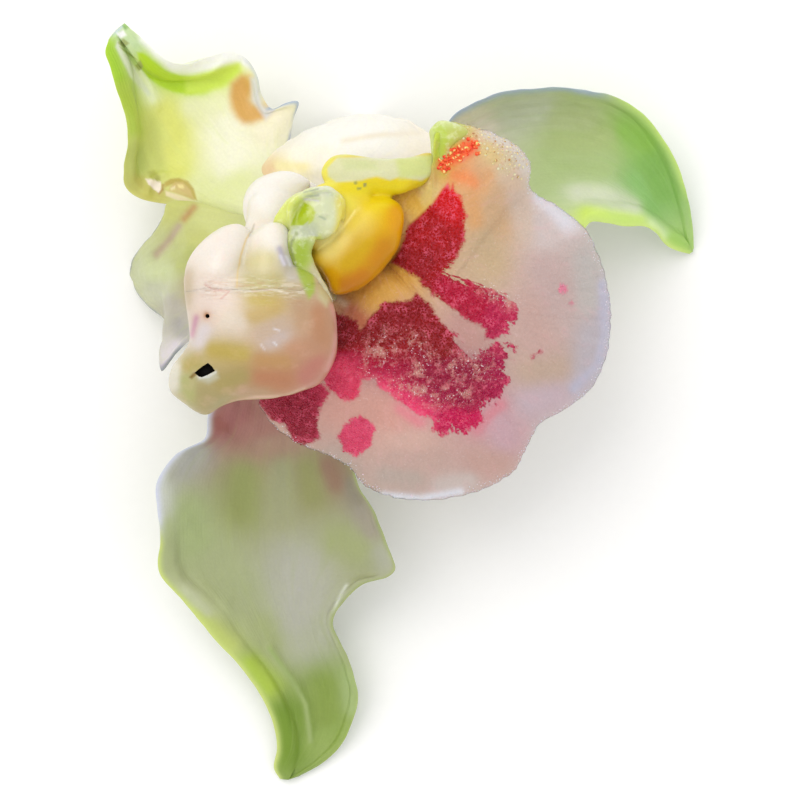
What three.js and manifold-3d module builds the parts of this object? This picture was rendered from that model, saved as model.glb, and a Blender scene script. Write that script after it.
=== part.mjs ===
// A cymbidium orchid flower as picked, lying face up. It rests on the tips of its two petals and
// two side sepals and on its own short stalk. Millimetres, +Z up, +Y towards the flower's upper
// petal, +X towards the lip's free edge.
import * as THREE from "three";
import { mergeVertices } from "three/addons/utils/BufferGeometryUtils.js";
import Module from "manifold-3d";

const wasm = await Module();
wasm.setup();

// Driving dimensions
const tepalThickness = 1.2;
const lipThickness = 1.2;
const sideLobeThickness = 1.0;
const seatGap = 0.3;
const mouthDepth = 6;
const mouthReach = 1.8;
const settle = [-0.25, 0.65, 0];

// How finely the plain solids are divided
const lengthSteps = 18;
const widthSteps = 8;
const lipSpokes = 44;
const lipRings = 7;
const wallSteps = { along: 18, up: 3 };
const tubeSteps = { rings: 12, sides: 12 };
const roundSteps = { plain: 16, cap: 20, hole: 10 };
const bandShare = 0.7;
const weldDistance = 1e-4;

// Each sepal and petal is a sheet between two edges, with its midrib between them, base to tip.
const dorsalSepal = {
  left: [
    [-12.6, 21.7, 17.3], [-16.8, 20.3, 15.5], [-21.6, 21.2, 13], [-24.6, 22.6, 11], [-27.8, 23.1, 10],
    [-30.5, 23.7, 10], [-32.2, 25.1, 10.5], [-32.4, 27.2, 11.5], [-31.9, 29.8, 12.5], [-32, 32.9, 13],
    [-32.8, 35.9, 13.5], [-33.6, 38.3, 13.5], [-34.4, 40.6, 13.5], [-34.1, 42, 13],
  ],
  midrib: [
    [-11.8, 23.1, 17], [-16, 24.2, 15], [-20.2, 27.2, 10.5], [-24.4, 31.3, 8],
    [-28.1, 35.6, 8], [-30.9, 39.7, 10], [-33.2, 43, 12.5],
  ],
  right: [
    [-10.9, 24.5, 17.3], [-11.6, 26.5, 15], [-12.9, 29.2, 12], [-12.6, 32.1, 11.2], [-11.9, 34.9, 12],
    [-13.3, 34.7, 12], [-15.1, 34.1, 11.5], [-16.2, 35.7, 11.5], [-16.7, 37.9, 12], [-17.9, 39.7, 12.5],
    [-19.8, 40.7, 13], [-22.4, 39.9, 13], [-25.1, 39, 13], [-27.6, 39.8, 13.5], [-29.7, 41.8, 13.5],
    [-32.2, 43.9, 13.5],
  ],
};

const petalLeft = {
  left: [
    [-11.4, 19.1, 19.2], [-15.5, 14.4, 20.5], [-19.8, 11.2, 19], [-23.2, 7.9, 16], [-26, 5.6, 13],
    [-28, 3.4, 11.5], [-27.8, 5.9, 9], [-26.7, 7.8, 7.5], [-27.8, 9.5, 6], [-29.7, 10.9, 4.5],
    [-31.5, 12.9, 2.4], [-32.3, 14.5, 0.5],
  ],
  midrib: [
    [-12, 20.3, 19.2], [-16.7, 17.8, 19.5], [-22, 16, 16], [-26.4, 15.2, 11], [-29.6, 14.9, 6],
    [-32.4, 14.9, 0.3],
  ],
  right: [
    [-12.6, 21.4, 19.2], [-16.7, 21.3, 18.5], [-20.3, 22, 17], [-23.8, 23.2, 15], [-27.3, 23.1, 12.5],
    [-27.9, 21.6, 10.5], [-29, 19.8, 8.5], [-30.6, 18.2, 6], [-31.9, 16.7, 3.4], [-32.5, 15.3, 0.5],
  ],
};

const petalRight = {
  left: [
    [-10.4, 24.5, 19.2], [-12.9, 24.9, 19], [-15.6, 25.8, 18], [-16, 27, 17], [-14.5, 28.7, 15.5],
    [-12.6, 30.2, 13], [-10, 31.8, 9], [-7.7, 33, 4.2], [-6, 33.8, 0.3],
  ],
  midrib: [
    [-9, 24.5, 19.2], [-7.5, 26.6, 21], [-6, 29, 19.5], [-5.2, 31.3, 14.5], [-4.7, 33, 7.2],
    [-4.6, 33.9, 0.1],
  ],
  right: [
    [-7.6, 24.4, 19.2], [-4, 24.8, 20], [0.6, 25.9, 19], [3.7, 27.2, 17.5], [4.8, 28.8, 16],
    [4, 30.6, 14], [2.1, 32.2, 10.5], [-0.6, 33.3, 5.2], [-3.1, 34, 0.3],
  ],
};

const lateralSepalRight = {
  left: [
    [-5.9, 23.4, 17.3], [-1.7, 25.9, 14], [2.9, 28.7, 12], [5.5, 32.5, 12], [7, 34, 13],
    [10.3, 35.4, 14], [14, 36.2, 14], [17.5, 36.5, 13.5], [21.2, 36.3, 13], [24.9, 35.5, 12],
    [28.2, 33.8, 10.5], [30.6, 31.3, 9], [32.6, 28.4, 7], [34.1, 24.3, 5], [35, 20.5, 2.5],
    [35.2, 18.2, 0.7],
  ],
  midrib: [
    [-5.75, 22, 17], [0, 24.5, 13], [8.2, 28.2, 9.5], [16.5, 30.4, 8], [23.6, 29.6, 7],
    [29.1, 25.5, 5], [32.8, 20.9, 2.5], [34.9, 17.9, 0.6],
  ],
  right: [
    [-5.9, 20.4, 17.3], [-1.2, 20.3, 17], [4.6, 20.3, 17], [11.6, 19.7, 17.5], [17.4, 19.3, 17],
    [21.1, 19.7, 15.5], [22.4, 20.7, 14], [25.7, 20.6, 12], [28.2, 20.6, 10], [30.2, 19.6, 7],
    [32.1, 18.3, 4], [33.7, 17.7, 1.8], [34.7, 17.5, 0.7],
  ],
};

const lateralSepalLeft = {
  left: [
    [-7.8, 18.6, 17.3], [-6, 11.6, 17.5], [-5.6, 3.5, 17], [-5.6, -4.6, 16.5], [-4.9, -9.9, 15.5],
    [-3, -13.4, 14.5], [-1.4, -17.3, 13], [-0.5, -19.7, 12], [-1.6, -20.9, 11], [-4.5, -21.7, 10.5],
    [-6.7, -23.8, 9.5], [-7.9, -26.1, 8.5], [-7, -28.9, 7.5], [-5.8, -31.6, 6.5], [-5.1, -34.7, 5],
    [-5.6, -37.9, 3.5], [-6.8, -40.9, 2], [-9.3, -43.5, 1], [-12.1, -45.1, 0.7],
  ],
  midrib: [
    [-9.5, 18.4, 17], [-11.3, 9.3, 16], [-13.4, -1.2, 13], [-14.7, -10.6, 9.5], [-14.8, -18.9, 6.5],
    [-13.1, -27.4, 4], [-10.5, -34.7, 2], [-10.5, -40.1, 1], [-13.3, -45.3, 0.6],
  ],
  right: [
    [-11.2, 18.7, 17.3], [-14.8, 11.6, 16], [-18.8, 4.6, 15.5], [-22.1, -1.4, 15], [-22.6, -4.4, 15],
    [-26, -6.4, 14.5], [-28.3, -9.3, 14], [-28.4, -12.3, 13], [-28.1, -16.4, 11.5], [-28.3, -20.2, 10],
    [-25.5, -23.8, 8.5], [-22.2, -27.9, 7], [-18.9, -31.7, 5.5], [-16.4, -35.5, 4], [-15, -38.8, 3],
    [-14.7, -41.6, 2], [-15.1, -44.1, 1], [-14.4, -45.4, 0.7],
  ],
};

// The lip is a dome inside a wavy outline. It narrows to a claw beside the foot of the column.
const lipOutline = [
  [24.2, 9.4, 22], [23.3, 14.9, 23], [21.4, 19.2, 24], [18.2, 21.9, 26], [14.7, 24, 29], [14.7, 26.4, 31],
  [13.2, 28.4, 33], [10, 30, 34], [6.9, 30.9, 34.5], [4.8, 30.9, 35], [3.8, 29.4, 36], [3.6, 26.9, 35],
  [0, 26, 32], [-3.9, 25, 29], [-5.5, 22.5, 23.5], [-6.5, 21.4, 20.9], [-5.7, 19.9, 22.8],
  [-7.9, 18.1, 28], [-8.3, 14.4, 29.5], [-9.9, 8.8, 28.5], [-12.5, 4.5, 27], [-16.1, 0.5, 26],
  [-14.8, -2.5, 25], [-11.2, -5.2, 24], [-8, -6.4, 24], [-5.7, -7.8, 24], [-4, -9.8, 23.5],
  [-0.6, -11.2, 22.5], [3.4, -11.5, 22], [9.2, -10.4, 21.5], [13.1, -8.1, 22], [14.2, -6.1, 23],
  [16, -2.7, 24], [18.5, -1.3, 23.5], [21.7, 1.1, 22.5], [23.5, 4.4, 22],
];
const lipCrown = [3.3, 10, 33.5];
const lipDomePower = 2.2;

// The near side lobe stands on the lip beside the column, and its top corner curls round.
const sideLobeRim = [
  [-8.3, 11, 33], [-9.8, 13.3, 36], [-11.2, 16.4, 38], [-12.3, 19.3, 39], [-12.1, 21.6, 39],
  [-10.3, 23.2, 39], [-7.8, 23.3, 38.5], [-6.2, 21.8, 37.5], [-6.3, 19.7, 36.5], [-7.3, 17.8, 35],
];
const sideLobeFoot = [
  [-6.8, 11.3, 29], [-7.4, 13.5, 29], [-8.1, 15.8, 29.5], [-8.9, 18, 30.5], [-9.6, 19.6, 31.5],
  [-9.3, 20.7, 31.5], [-8.7, 21.3, 31.5], [-7.9, 20.9, 30.5], [-7.6, 20.1, 29.5], [-7.2, 18.5, 27.5],
];

// Two fleshy keels on the floor of the lip: centre, half sizes and heading in the XY plane.
const nearKeel = { centre: [-4.2, 17.4, 31.8], half: [6.1, 4, 4.6], heading: 53 };
const farKeel = { centre: [-1.8, 25.5, 33.2], half: [6.4, 2.3, 2.8], heading: 5 };

// The column: a stalk that arches over the lip, two shoulders, and a tongue for the pollinia.
const columnPath = [
  [-9.2, 21.6, 20.4], [-9.4, 21.65, 22], [-11.2, 22, 25], [-14.2, 22.2, 29], [-16.2, 19.6, 33.5], [-16.6, 15.6, 36.5],
];
const columnRadii = [2.2, 2.6, 3.2, 3.4, 3.3, 3.1];
const shoulders = [
  { centre: [-20.3, 15, 36.3], half: [3, 4, 3.4], heading: 100 },
  { centre: [-15.4, 15.8, 36.8], half: [3.3, 3.7, 3.8], heading: 80 },
];
const tongue = { centre: [-17, 10.6, 36.8], half: [2.2, 3.6, 1.3], heading: 0 };

// The anther cap: a rounded helmet with a beak, pierced by a slit and a pore.
const capLobes = [
  { centre: [-14.3, 6, 38], half: [7.4, 5.8, 5.6], heading: 10 },
  { centre: [-18.6, 5.2, 37.8], half: [5.6, 5.4, 5], heading: 40 },
  { centre: [-21.6, 2.3, 37.2], half: [4.3, 3.9, 3.9], heading: 35 },
];
const slit = { centre: [-21.4, 3.2, 41], half: [1, 0.5, 2.2], heading: 25 };
const pore = { centre: [-21.3, 9.4, 40.2], half: [0.35, 0.35, 1.6], heading: 0 };
const pollinia = {
  pollinium_left: { centre: [-18.3, 7, 38.4], half: [1.1, 1, 0.9], heading: 0 },
  pollinium_right: { centre: [-15.7, 7, 38.4], half: [1.1, 1, 0.9], heading: 0 },
};
const viscidium = { centre: [-17, 5.5, 36.6], half: [1.8, 0.9, 0.5], heading: 0 };

// The ovary, with the cut stalk that runs along the surface.
const stalkPath = [
  [-9.2, 21.6, 19.9], [-9.15, 21.5, 15.5], [-8, 19.3, 10.2], [-5, 15.4, 5.6], [-0.2, 11, 3], [4.8, 6.6, 2.25],
  [9.3, 2.6, 2.15],
];
const stalkRadii = [2.1, 2.7, 2.9, 2.7, 2.2, 1.95, 1.9];
const ovaryRibs = 6;
const ribDepth = 0.12;

// Colours of the plain solids
const colours = {
  tepalGreen: 0xc8d29a, tepalPale: 0xb6c398, tepalDull: 0xa6ad86, cream: 0xf4efe0, lipBlush: 0xd9b4a6,
  columnCream: 0xe6d6c4, capPeach: 0xd2ae86, pollenYellow: 0xe6b92c, stalkGreen: 0x94a45c,
};

// A smooth curve through points.
function curveThrough(points, closed = false) {
  const vectors = points.map((p) => new THREE.Vector3(...p));
  return new THREE.CatmullRomCurve3(vectors, closed, "centripetal");
}

// The normal of a sheet at each grid point, from its neighbours along and across.
function sheetNormals(rows) {
  return rows.map((row, i) =>
    row.map((_, j) => {
      const before = rows[Math.max(i - 1, 0)][j];
      const after = rows[Math.min(i + 1, rows.length - 1)][j];
      const near = row[Math.max(j - 1, 0)];
      const far = row[Math.min(j + 1, row.length - 1)];
      const along = after.clone().sub(before);
      const across = far.clone().sub(near);
      return across.cross(along).normalize();
    }),
  );
}

// A closed solid of a given thickness on a grid of points. Faces point out.
function sheetSolid(rows, thickness) {
  const normals = sheetNormals(rows);
  const columns = rows[0].length;
  const positions = [];
  for (const side of [0.5, -0.5]) {
    rows.forEach((row, i) =>
      row.forEach((p, j) => {
        const moved = p.clone().addScaledVector(normals[i][j], side * thickness);
        positions.push(moved.x, moved.y, moved.z);
      }),
    );
  }
  const underside = rows.length * columns;
  const at = (i, j) => i * columns + j;
  const faces = [];
  const quad = (a, b, c, d) => faces.push(a, b, c, a, c, d);
  for (let i = 0; i < rows.length - 1; i += 1) {
    for (let j = 0; j < columns - 1; j += 1) {
      quad(at(i, j), at(i, j + 1), at(i + 1, j + 1), at(i + 1, j));
      quad(
        underside + at(i, j), underside + at(i + 1, j),
        underside + at(i + 1, j + 1), underside + at(i, j + 1),
      );
    }
  }
  const rim = [];
  for (let j = 0; j < columns; j += 1) rim.push(at(0, j));
  for (let i = 1; i < rows.length; i += 1) rim.push(at(i, columns - 1));
  for (let j = columns - 2; j >= 0; j -= 1) rim.push(at(rows.length - 1, j));
  for (let i = rows.length - 2; i > 0; i -= 1) rim.push(at(i, 0));
  rim.forEach((a, k) => {
    const b = rim[(k + 1) % rim.length];
    quad(a, underside + a, underside + b, b);
  });
  return indexed(positions, faces);
}

function indexed(positions, faces) {
  const geometry = new THREE.BufferGeometry();
  geometry.setAttribute("position", new THREE.Float32BufferAttribute(positions, 3));
  geometry.setIndex(faces);
  return geometry;
}

// A sepal or petal: each cross-section is a parabola through the two edges and the midrib.
function tepalGeometry({ left, midrib, right }) {
  const curves = [left, midrib, right].map((points) =>
    curveThrough(points).getSpacedPoints(lengthSteps),
  );
  const rows = [];
  for (let i = 0; i <= lengthSteps; i += 1) {
    const row = [];
    for (let j = 0; j <= widthSteps; j += 1) {
      const v = (2 * j) / widthSteps - 1;
      row.push(
        new THREE.Vector3()
          .addScaledVector(curves[0][i], (v * (v - 1)) / 2)
          .addScaledVector(curves[1][i], 1 - v * v)
          .addScaledVector(curves[2][i], (v * (v + 1)) / 2),
      );
    }
    rows.push(row);
  }
  return sheetSolid(rows, tepalThickness);
}

// The lip's blade: rings from the crown out to the outline, top and underside.
function lipBladeGeometry() {
  const rimPoints = curveThrough(lipOutline, true).getSpacedPoints(lipSpokes).slice(0, lipSpokes);
  const crown = new THREE.Vector3(...lipCrown);
  const positions = [];
  for (const side of [0.5, -0.5]) {
    positions.push(crown.x, crown.y, crown.z + side * lipThickness);
    for (let ring = 1; ring <= lipRings; ring += 1) {
      const share = ring / lipRings;
      const drop = share ** lipDomePower;
      for (const rim of rimPoints) {
        const p = crown.clone().lerp(rim, share);
        positions.push(p.x, p.y, crown.z + (rim.z - crown.z) * drop + side * lipThickness);
      }
    }
  }
  const underside = 1 + lipRings * lipSpokes;
  const at = (ring, spoke) => 1 + (ring - 1) * lipSpokes + (spoke % lipSpokes);
  const faces = [];
  for (let s = 0; s < lipSpokes; s += 1) {
    faces.push(0, at(1, s), at(1, s + 1));
    faces.push(underside, underside + at(1, s + 1), underside + at(1, s));
    for (let ring = 1; ring < lipRings; ring += 1) {
      const [a, b] = [at(ring, s), at(ring, s + 1)];
      const [c, d] = [at(ring + 1, s + 1), at(ring + 1, s)];
      faces.push(a, d, c, a, c, b);
      faces.push(underside + a, underside + c, underside + d, underside + a, underside + b, underside + c);
    }
    const [a, b] = [at(lipRings, s), at(lipRings, s + 1)];
    faces.push(a, underside + a, underside + b, a, underside + b, b);
  }
  return indexed(positions, faces);
}

// A wall between two matching curves, such as the side lobe between its foot and its rim.
function wallGeometry(foot, rim, thickness) {
  const [low, high] = [foot, rim].map((points) =>
    curveThrough(points).getSpacedPoints(wallSteps.along),
  );
  const rows = low.map((p, i) =>
    Array.from({ length: wallSteps.up + 1 }, (_, j) => p.clone().lerp(high[i], j / wallSteps.up)),
  );
  return sheetSolid(rows, thickness);
}

// A tube whose radius changes along a path, with flat ends. It may have ribs.
function tubeGeometry(path, radii, { ribs = 0, sides = tubeSteps.sides, grow = 0 } = {}) {
  const { rings } = tubeSteps;
  const curve = curveThrough(path);
  const frames = curve.computeFrenetFrames(rings, false);
  const positions = [];
  for (let i = 0; i <= rings; i += 1) {
    const share = i / rings;
    const p = curve.getPointAt(share);
    const place = share * (radii.length - 1);
    const k = Math.min(Math.floor(place), radii.length - 2);
    const radius = THREE.MathUtils.lerp(radii[k], radii[k + 1], place - k) + grow;
    for (let s = 0; s < sides; s += 1) {
      const angle = (2 * Math.PI * s) / sides;
      const r = radius * (1 + (ribs ? ribDepth * Math.cos(ribs * angle) : 0));
      const out = p
        .clone()
        .addScaledVector(frames.normals[i], r * Math.cos(angle))
        .addScaledVector(frames.binormals[i], r * Math.sin(angle));
      positions.push(out.x, out.y, out.z);
    }
  }
  const start = curve.getPointAt(0);
  const end = curve.getPointAt(1);
  positions.push(start.x, start.y, start.z, end.x, end.y, end.z);
  const first = (rings + 1) * sides;
  const faces = [];
  for (let s = 0; s < sides; s += 1) {
    const next = (s + 1) % sides;
    faces.push(first, next, s, first + 1, rings * sides + s, rings * sides + next);
    for (let i = 0; i < rings; i += 1) {
      const [a, b] = [i * sides + s, i * sides + next];
      faces.push(a, b, b + sides, a, b + sides, a + sides);
    }
  }
  return indexed(positions, faces);
}

// An ellipsoid turned about Z. It can be grown all round to leave a gap for a neighbour.
function ellipsoidGeometry({ centre, half, heading }, { grow = 0, detail = roundSteps.plain } = {}) {
  return new THREE.SphereGeometry(1, detail, Math.round(detail * bandShare))
    .scale(...half.map((h) => h + grow))
    .rotateZ(THREE.MathUtils.degToRad(heading))
    .translate(...centre);
}

function boxGeometry(low, high) {
  const size = high.map((h, i) => h - low[i]);
  return new THREE.BoxGeometry(...size).translate(...low.map((l, i) => l + size[i] / 2));
}

// A three.js geometry as a solid for cutting and joining, and back again.
function solidOf(geometry) {
  const bare = geometry.clone();
  bare.deleteAttribute("normal");
  bare.deleteAttribute("uv");
  const merged = mergeVertices(bare, weldDistance);
  return new wasm.Manifold(
    new wasm.Mesh({
      numProp: 3,
      vertProperties: new Float32Array(merged.attributes.position.array),
      triVerts: new Uint32Array(merged.index.array),
    }),
  );
}

function geometryOf(solid) {
  const { vertProperties, triVerts } = solid.getMesh();
  return indexed(Array.from(vertProperties), Array.from(triVerts));
}

function join(geometries) {
  return geometries.map(solidOf).reduce((whole, piece) => whole.add(piece));
}

function lipSolid() {
  return join([
    lipBladeGeometry(),
    wallGeometry(sideLobeFoot, sideLobeRim, sideLobeThickness),
    ellipsoidGeometry(nearKeel),
    ellipsoidGeometry(farKeel),
  ]);
}

// The column, or the same shape grown by a gap.
function columnSolid(grow = 0) {
  return join([
    tubeGeometry(columnPath, columnRadii, { grow }),
    ...shoulders.map((shoulder) => ellipsoidGeometry(shoulder, { grow })),
    ellipsoidGeometry(tongue, { grow }),
  ]);
}

// The cap is cut clear of what it covers, and its locules are open underneath.
function capSolid() {
  const contents = [...Object.values(pollinia), viscidium];
  const [x, y, z] = viscidium.centre;
  const [reachX, reachY] = viscidium.half;
  const mouth = boxGeometry(
    [x - reachX - seatGap, y - reachY - seatGap, z - mouthDepth],
    [x + reachX + seatGap, y + reachY + mouthReach, z + seatGap],
  );
  let cap = join(capLobes.map((lobe) => ellipsoidGeometry(lobe, { detail: roundSteps.cap })));
  cap = cap.subtract(columnSolid(seatGap));
  for (const piece of contents) {
    cap = cap.subtract(solidOf(ellipsoidGeometry(piece, { grow: seatGap })));
  }
  cap = cap.subtract(solidOf(mouth));
  for (const hole of [slit, pore]) {
    cap = cap.subtract(solidOf(ellipsoidGeometry(hole, { detail: roundSteps.hole })));
  }
  // Slivers that the cuts leave loose are dropped.
  const pieces = cap.decompose().sort((a, b) => b.volume() - a.volume());
  return pieces[0];
}

function named(name, geometry, colour, roughness = 0.55) {
  const material = new THREE.MeshStandardMaterial({ color: colour, roughness, metalness: 0 });
  const mesh = new THREE.Mesh(geometry, material);
  mesh.name = name;
  return mesh;
}

const flower = new THREE.Group();
flower.position.set(...settle);
flower.add(
  named("dorsal_sepal", tepalGeometry(dorsalSepal), colours.tepalGreen),
  named("lateral_sepal_right", tepalGeometry(lateralSepalRight), colours.tepalPale),
  named("lateral_sepal_left", tepalGeometry(lateralSepalLeft), colours.tepalDull),
  named("petal_right", tepalGeometry(petalRight), colours.cream),
  named("petal_left", tepalGeometry(petalLeft), colours.tepalGreen),
  named("lip", geometryOf(lipSolid()), colours.lipBlush),
  named("column", geometryOf(columnSolid()), colours.columnCream, 0.45),
  named("anther_cap", geometryOf(capSolid()), colours.capPeach, 0.4),
  ...Object.entries(pollinia).map(([name, shape]) =>
    named(name, ellipsoidGeometry(shape), colours.pollenYellow, 0.35),
  ),
  named("viscidium", ellipsoidGeometry(viscidium), colours.cream, 0.3),
  named(
    "ovary_and_stalk",
    tubeGeometry(stalkPath, stalkRadii, { sides: 2 * tubeSteps.sides, ribs: ovaryRibs }),
    colours.stalkGreen,
  ),
);

const part = new THREE.Group();
part.add(flower);

export default part;
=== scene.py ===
import math

import bmesh
import bpy
import numpy as np
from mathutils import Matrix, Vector


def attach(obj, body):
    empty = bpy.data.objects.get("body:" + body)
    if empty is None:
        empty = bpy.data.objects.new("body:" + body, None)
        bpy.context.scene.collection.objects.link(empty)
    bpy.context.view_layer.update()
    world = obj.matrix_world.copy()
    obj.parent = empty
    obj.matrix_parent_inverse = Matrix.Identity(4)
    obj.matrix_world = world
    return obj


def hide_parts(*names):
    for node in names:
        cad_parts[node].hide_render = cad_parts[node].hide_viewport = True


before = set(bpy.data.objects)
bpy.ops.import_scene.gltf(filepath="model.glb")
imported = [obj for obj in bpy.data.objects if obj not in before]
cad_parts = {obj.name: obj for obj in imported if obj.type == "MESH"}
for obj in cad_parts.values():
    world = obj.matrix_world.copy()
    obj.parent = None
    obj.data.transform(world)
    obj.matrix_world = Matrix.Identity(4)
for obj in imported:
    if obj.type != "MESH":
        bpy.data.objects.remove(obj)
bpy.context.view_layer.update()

# Driving dimensions
MM = 0.001
SETTLE = np.array([-0.25, 0.65, 0.0])
BLADE_THICKNESS = 0.8
LIP_THICKNESS = 0.75
MARGIN_SHARE = 0.3
HEM_FADE = 0.08
MARGIN_FADE = 0.06
CAMERA_HEIGHT = 480.0
CAMERA_LENS = 180.0

# How finely the skins are divided
BLADE_ROWS = 240
BLADE_COLUMNS = 104
LIP_SPOKES = 520
LIP_RINGS = 88
CUSHION_STEPS = (200, 44)
PILLOW_CELLS = 90
PILLOW_STEPS = 3500
MELT_VOXEL = 0.18
MELT_PASSES = 8

# Sepals and petals: two edges and the midrib, base to tip.
DORSAL_SEPAL = {
    "left": [
        (-12.6, 21.7, 17.3), (-16.8, 20.3, 15.5), (-21.6, 21.2, 13), (-24.6, 22.6, 11), (-27.8, 23.1, 10),
        (-30.5, 23.7, 10), (-32.2, 25.1, 10.5), (-32.4, 27.2, 11.5), (-31.9, 29.8, 12.5), (-32, 32.9, 13),
        (-32.8, 35.9, 13.5), (-33.6, 38.3, 13.5), (-34.4, 40.6, 13.5), (-34.1, 42, 13),
    ],
    "midrib": [
        (-11.8, 23.1, 17), (-16, 24.2, 15), (-20.2, 27.2, 10.5), (-24.4, 31.3, 8),
        (-28.1, 35.6, 8), (-30.9, 39.7, 10), (-33.2, 43, 12.5),
    ],
    "right": [
        (-10.9, 24.5, 17.3), (-11.6, 26.5, 15), (-12.9, 29.2, 12), (-12.6, 32.1, 11.2),
        (-11.9, 34.9, 12), (-13.3, 34.7, 12), (-15.1, 34.1, 11.5), (-16.2, 35.7, 11.5),
        (-16.7, 37.9, 12), (-17.9, 39.7, 12.5), (-19.8, 40.7, 13), (-22.4, 39.9, 13), (-25.1, 39, 13),
        (-27.6, 39.8, 13.5), (-29.7, 41.8, 13.5), (-32.2, 43.9, 13.5),
    ],
}

PETAL_LEFT = {
    "left": [
        (-11.4, 19.1, 19.2), (-15.5, 14.4, 20.5), (-19.8, 11.2, 19), (-23.2, 7.9, 16), (-26, 5.6, 13),
        (-28, 3.4, 11.5), (-27.8, 5.9, 9), (-26.7, 7.8, 7.5), (-27.8, 9.5, 6), (-29.7, 10.9, 4.5),
        (-31.5, 12.9, 2.4), (-32.3, 14.5, 0.5),
    ],
    "midrib": [
        (-12, 20.3, 19.2), (-16.7, 17.8, 19.5), (-22, 16, 16), (-26.4, 15.2, 11), (-29.6, 14.9, 6),
        (-32.4, 14.9, 0.3),
    ],
    "right": [
        (-12.6, 21.4, 19.2), (-16.7, 21.3, 17.2), (-20.3, 22, 14.8), (-23.8, 23.2, 12.4),
        (-27.3, 23.1, 11.2), (-27.9, 21.6, 10.5), (-29, 19.8, 8.5), (-30.6, 18.2, 6),
        (-31.9, 16.7, 3.4), (-32.5, 15.3, 0.5),
    ],
}

PETAL_RIGHT = {
    "left": [
        (-10.4, 24.5, 19.2), (-12.9, 24.9, 19), (-15.6, 25.8, 18), (-16, 27, 17), (-14.5, 28.7, 15.5),
        (-12.6, 30.2, 13), (-10, 31.8, 9), (-7.7, 33, 4.2), (-6, 33.8, 0.3),
    ],
    "midrib": [
        (-9, 24.5, 19.2), (-7.5, 26.6, 21), (-6, 29, 19.5), (-5.2, 31.3, 14.5), (-4.7, 33, 7.2),
        (-4.6, 33.9, 0.1),
    ],
    "right": [
        (-7.6, 24.4, 19.2), (-4, 24.8, 20), (0.6, 25.9, 19), (3.7, 27.2, 17.5), (4.8, 28.8, 16),
        (4, 30.6, 14), (2.1, 32.2, 10.5), (-0.6, 33.3, 5.2), (-3.1, 34, 0.3),
    ],
}

LATERAL_SEPAL_RIGHT = {
    "left": [
        (-5.9, 23.4, 17.3), (-1.7, 25.9, 14), (2.9, 28.7, 12), (5.5, 32.5, 12), (7, 34, 13),
        (10.3, 35.4, 14), (14, 36.2, 14), (17.5, 36.5, 13.5), (21.2, 36.3, 13), (24.9, 35.5, 12),
        (28.2, 33.8, 10.5), (30.6, 31.3, 9), (32.6, 28.4, 7), (34.1, 24.3, 5), (35, 20.5, 2.5),
        (35.2, 18.2, 0.7),
    ],
    "midrib": [
        (-5.75, 22, 17), (0, 24.5, 13), (8.2, 28.2, 9.5), (16.5, 30.4, 8), (23.6, 29.6, 7),
        (29.1, 25.5, 5), (32.8, 20.9, 2.5), (34.9, 17.9, 0.6),
    ],
    "right": [
        (-5.9, 20.4, 17.3), (-1.2, 20.3, 17), (4.6, 20.3, 17), (11.6, 19.7, 17.5), (17.4, 19.3, 17),
        (21.1, 19.7, 15.5), (22.4, 20.7, 14), (25.7, 20.6, 12), (28.2, 20.6, 10), (30.2, 19.6, 7),
        (32.1, 18.3, 4), (33.7, 17.7, 1.8), (34.7, 17.5, 0.7),
    ],
}

LATERAL_SEPAL_LEFT = {
    "left": [
        (-7.8, 18.6, 17.3), (-6, 11.6, 17.5), (-5.6, 3.5, 17), (-5.6, -4.6, 16.5), (-4.9, -9.9, 15.5),
        (-3, -13.4, 14.5), (-1.4, -17.3, 13), (-0.5, -19.7, 12), (-1.6, -20.9, 11), (-4.5, -21.7, 10.5),
        (-6.7, -23.8, 9.5), (-7.9, -26.1, 8.5), (-7, -28.9, 7.5), (-5.8, -31.6, 6.5), (-5.1, -34.7, 5),
        (-5.6, -37.9, 3.5), (-6.8, -40.9, 2), (-9.3, -43.5, 1), (-12.1, -45.1, 0.7),
    ],
    "midrib": [
        (-9.5, 18.4, 17), (-11.3, 9.3, 16), (-13.4, -1.2, 13), (-14.7, -10.6, 9.5), (-14.8, -18.9, 6.5),
        (-13.1, -27.4, 4), (-10.5, -34.7, 2), (-10.5, -40.1, 1), (-13.3, -45.3, 0.6),
    ],
    "right": [
        (-11.2, 18.7, 17.3), (-14.8, 11.6, 16), (-18.8, 4.6, 15.5), (-22.1, -1.4, 15),
        (-22.6, -4.4, 15), (-26, -6.4, 14.5), (-28.3, -9.3, 14), (-28.4, -12.3, 13),
        (-28.1, -16.4, 11.5), (-28.3, -20.2, 10), (-25.5, -23.8, 8.5), (-22.2, -27.9, 7),
        (-18.9, -31.7, 5.5), (-16.4, -35.5, 4), (-15, -38.8, 3), (-14.7, -41.6, 2), (-15.1, -44.1, 1),
        (-14.4, -45.4, 0.7),
    ],
}

# Rolled hems: side, where it starts and ends along the edge, width and height.
DORSAL_HEMS = [
    ("left", 0.5, 1.2, 2.2, 0.55), ("right", 0.58, 1.2, 3.9, 0.9), ("right", 0.3, 0.56, 0.9, 0.25),
]
PETAL_LEFT_HEMS = [("left", 0.3, 1.0, 0.8, 0.2)]
PETAL_RIGHT_HEMS = [("left", 0.2, 1.0, 0.8, 0.15), ("right", 0.2, 1.0, 0.8, 0.15)]
RIGHT_SEPAL_HEMS = [("right", 0.56, 1.2, 2.0, 0.5), ("left", 0.55, 1.2, 1.2, 0.25)]
LEFT_SEPAL_HEMS = [
    ("right", 0.5, 1.2, 2.4, 0.5), ("left", 0.4, 0.52, 0.9, 0.3), ("left", 0.52, 1.1, 1.2, 0.25),
]
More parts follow.
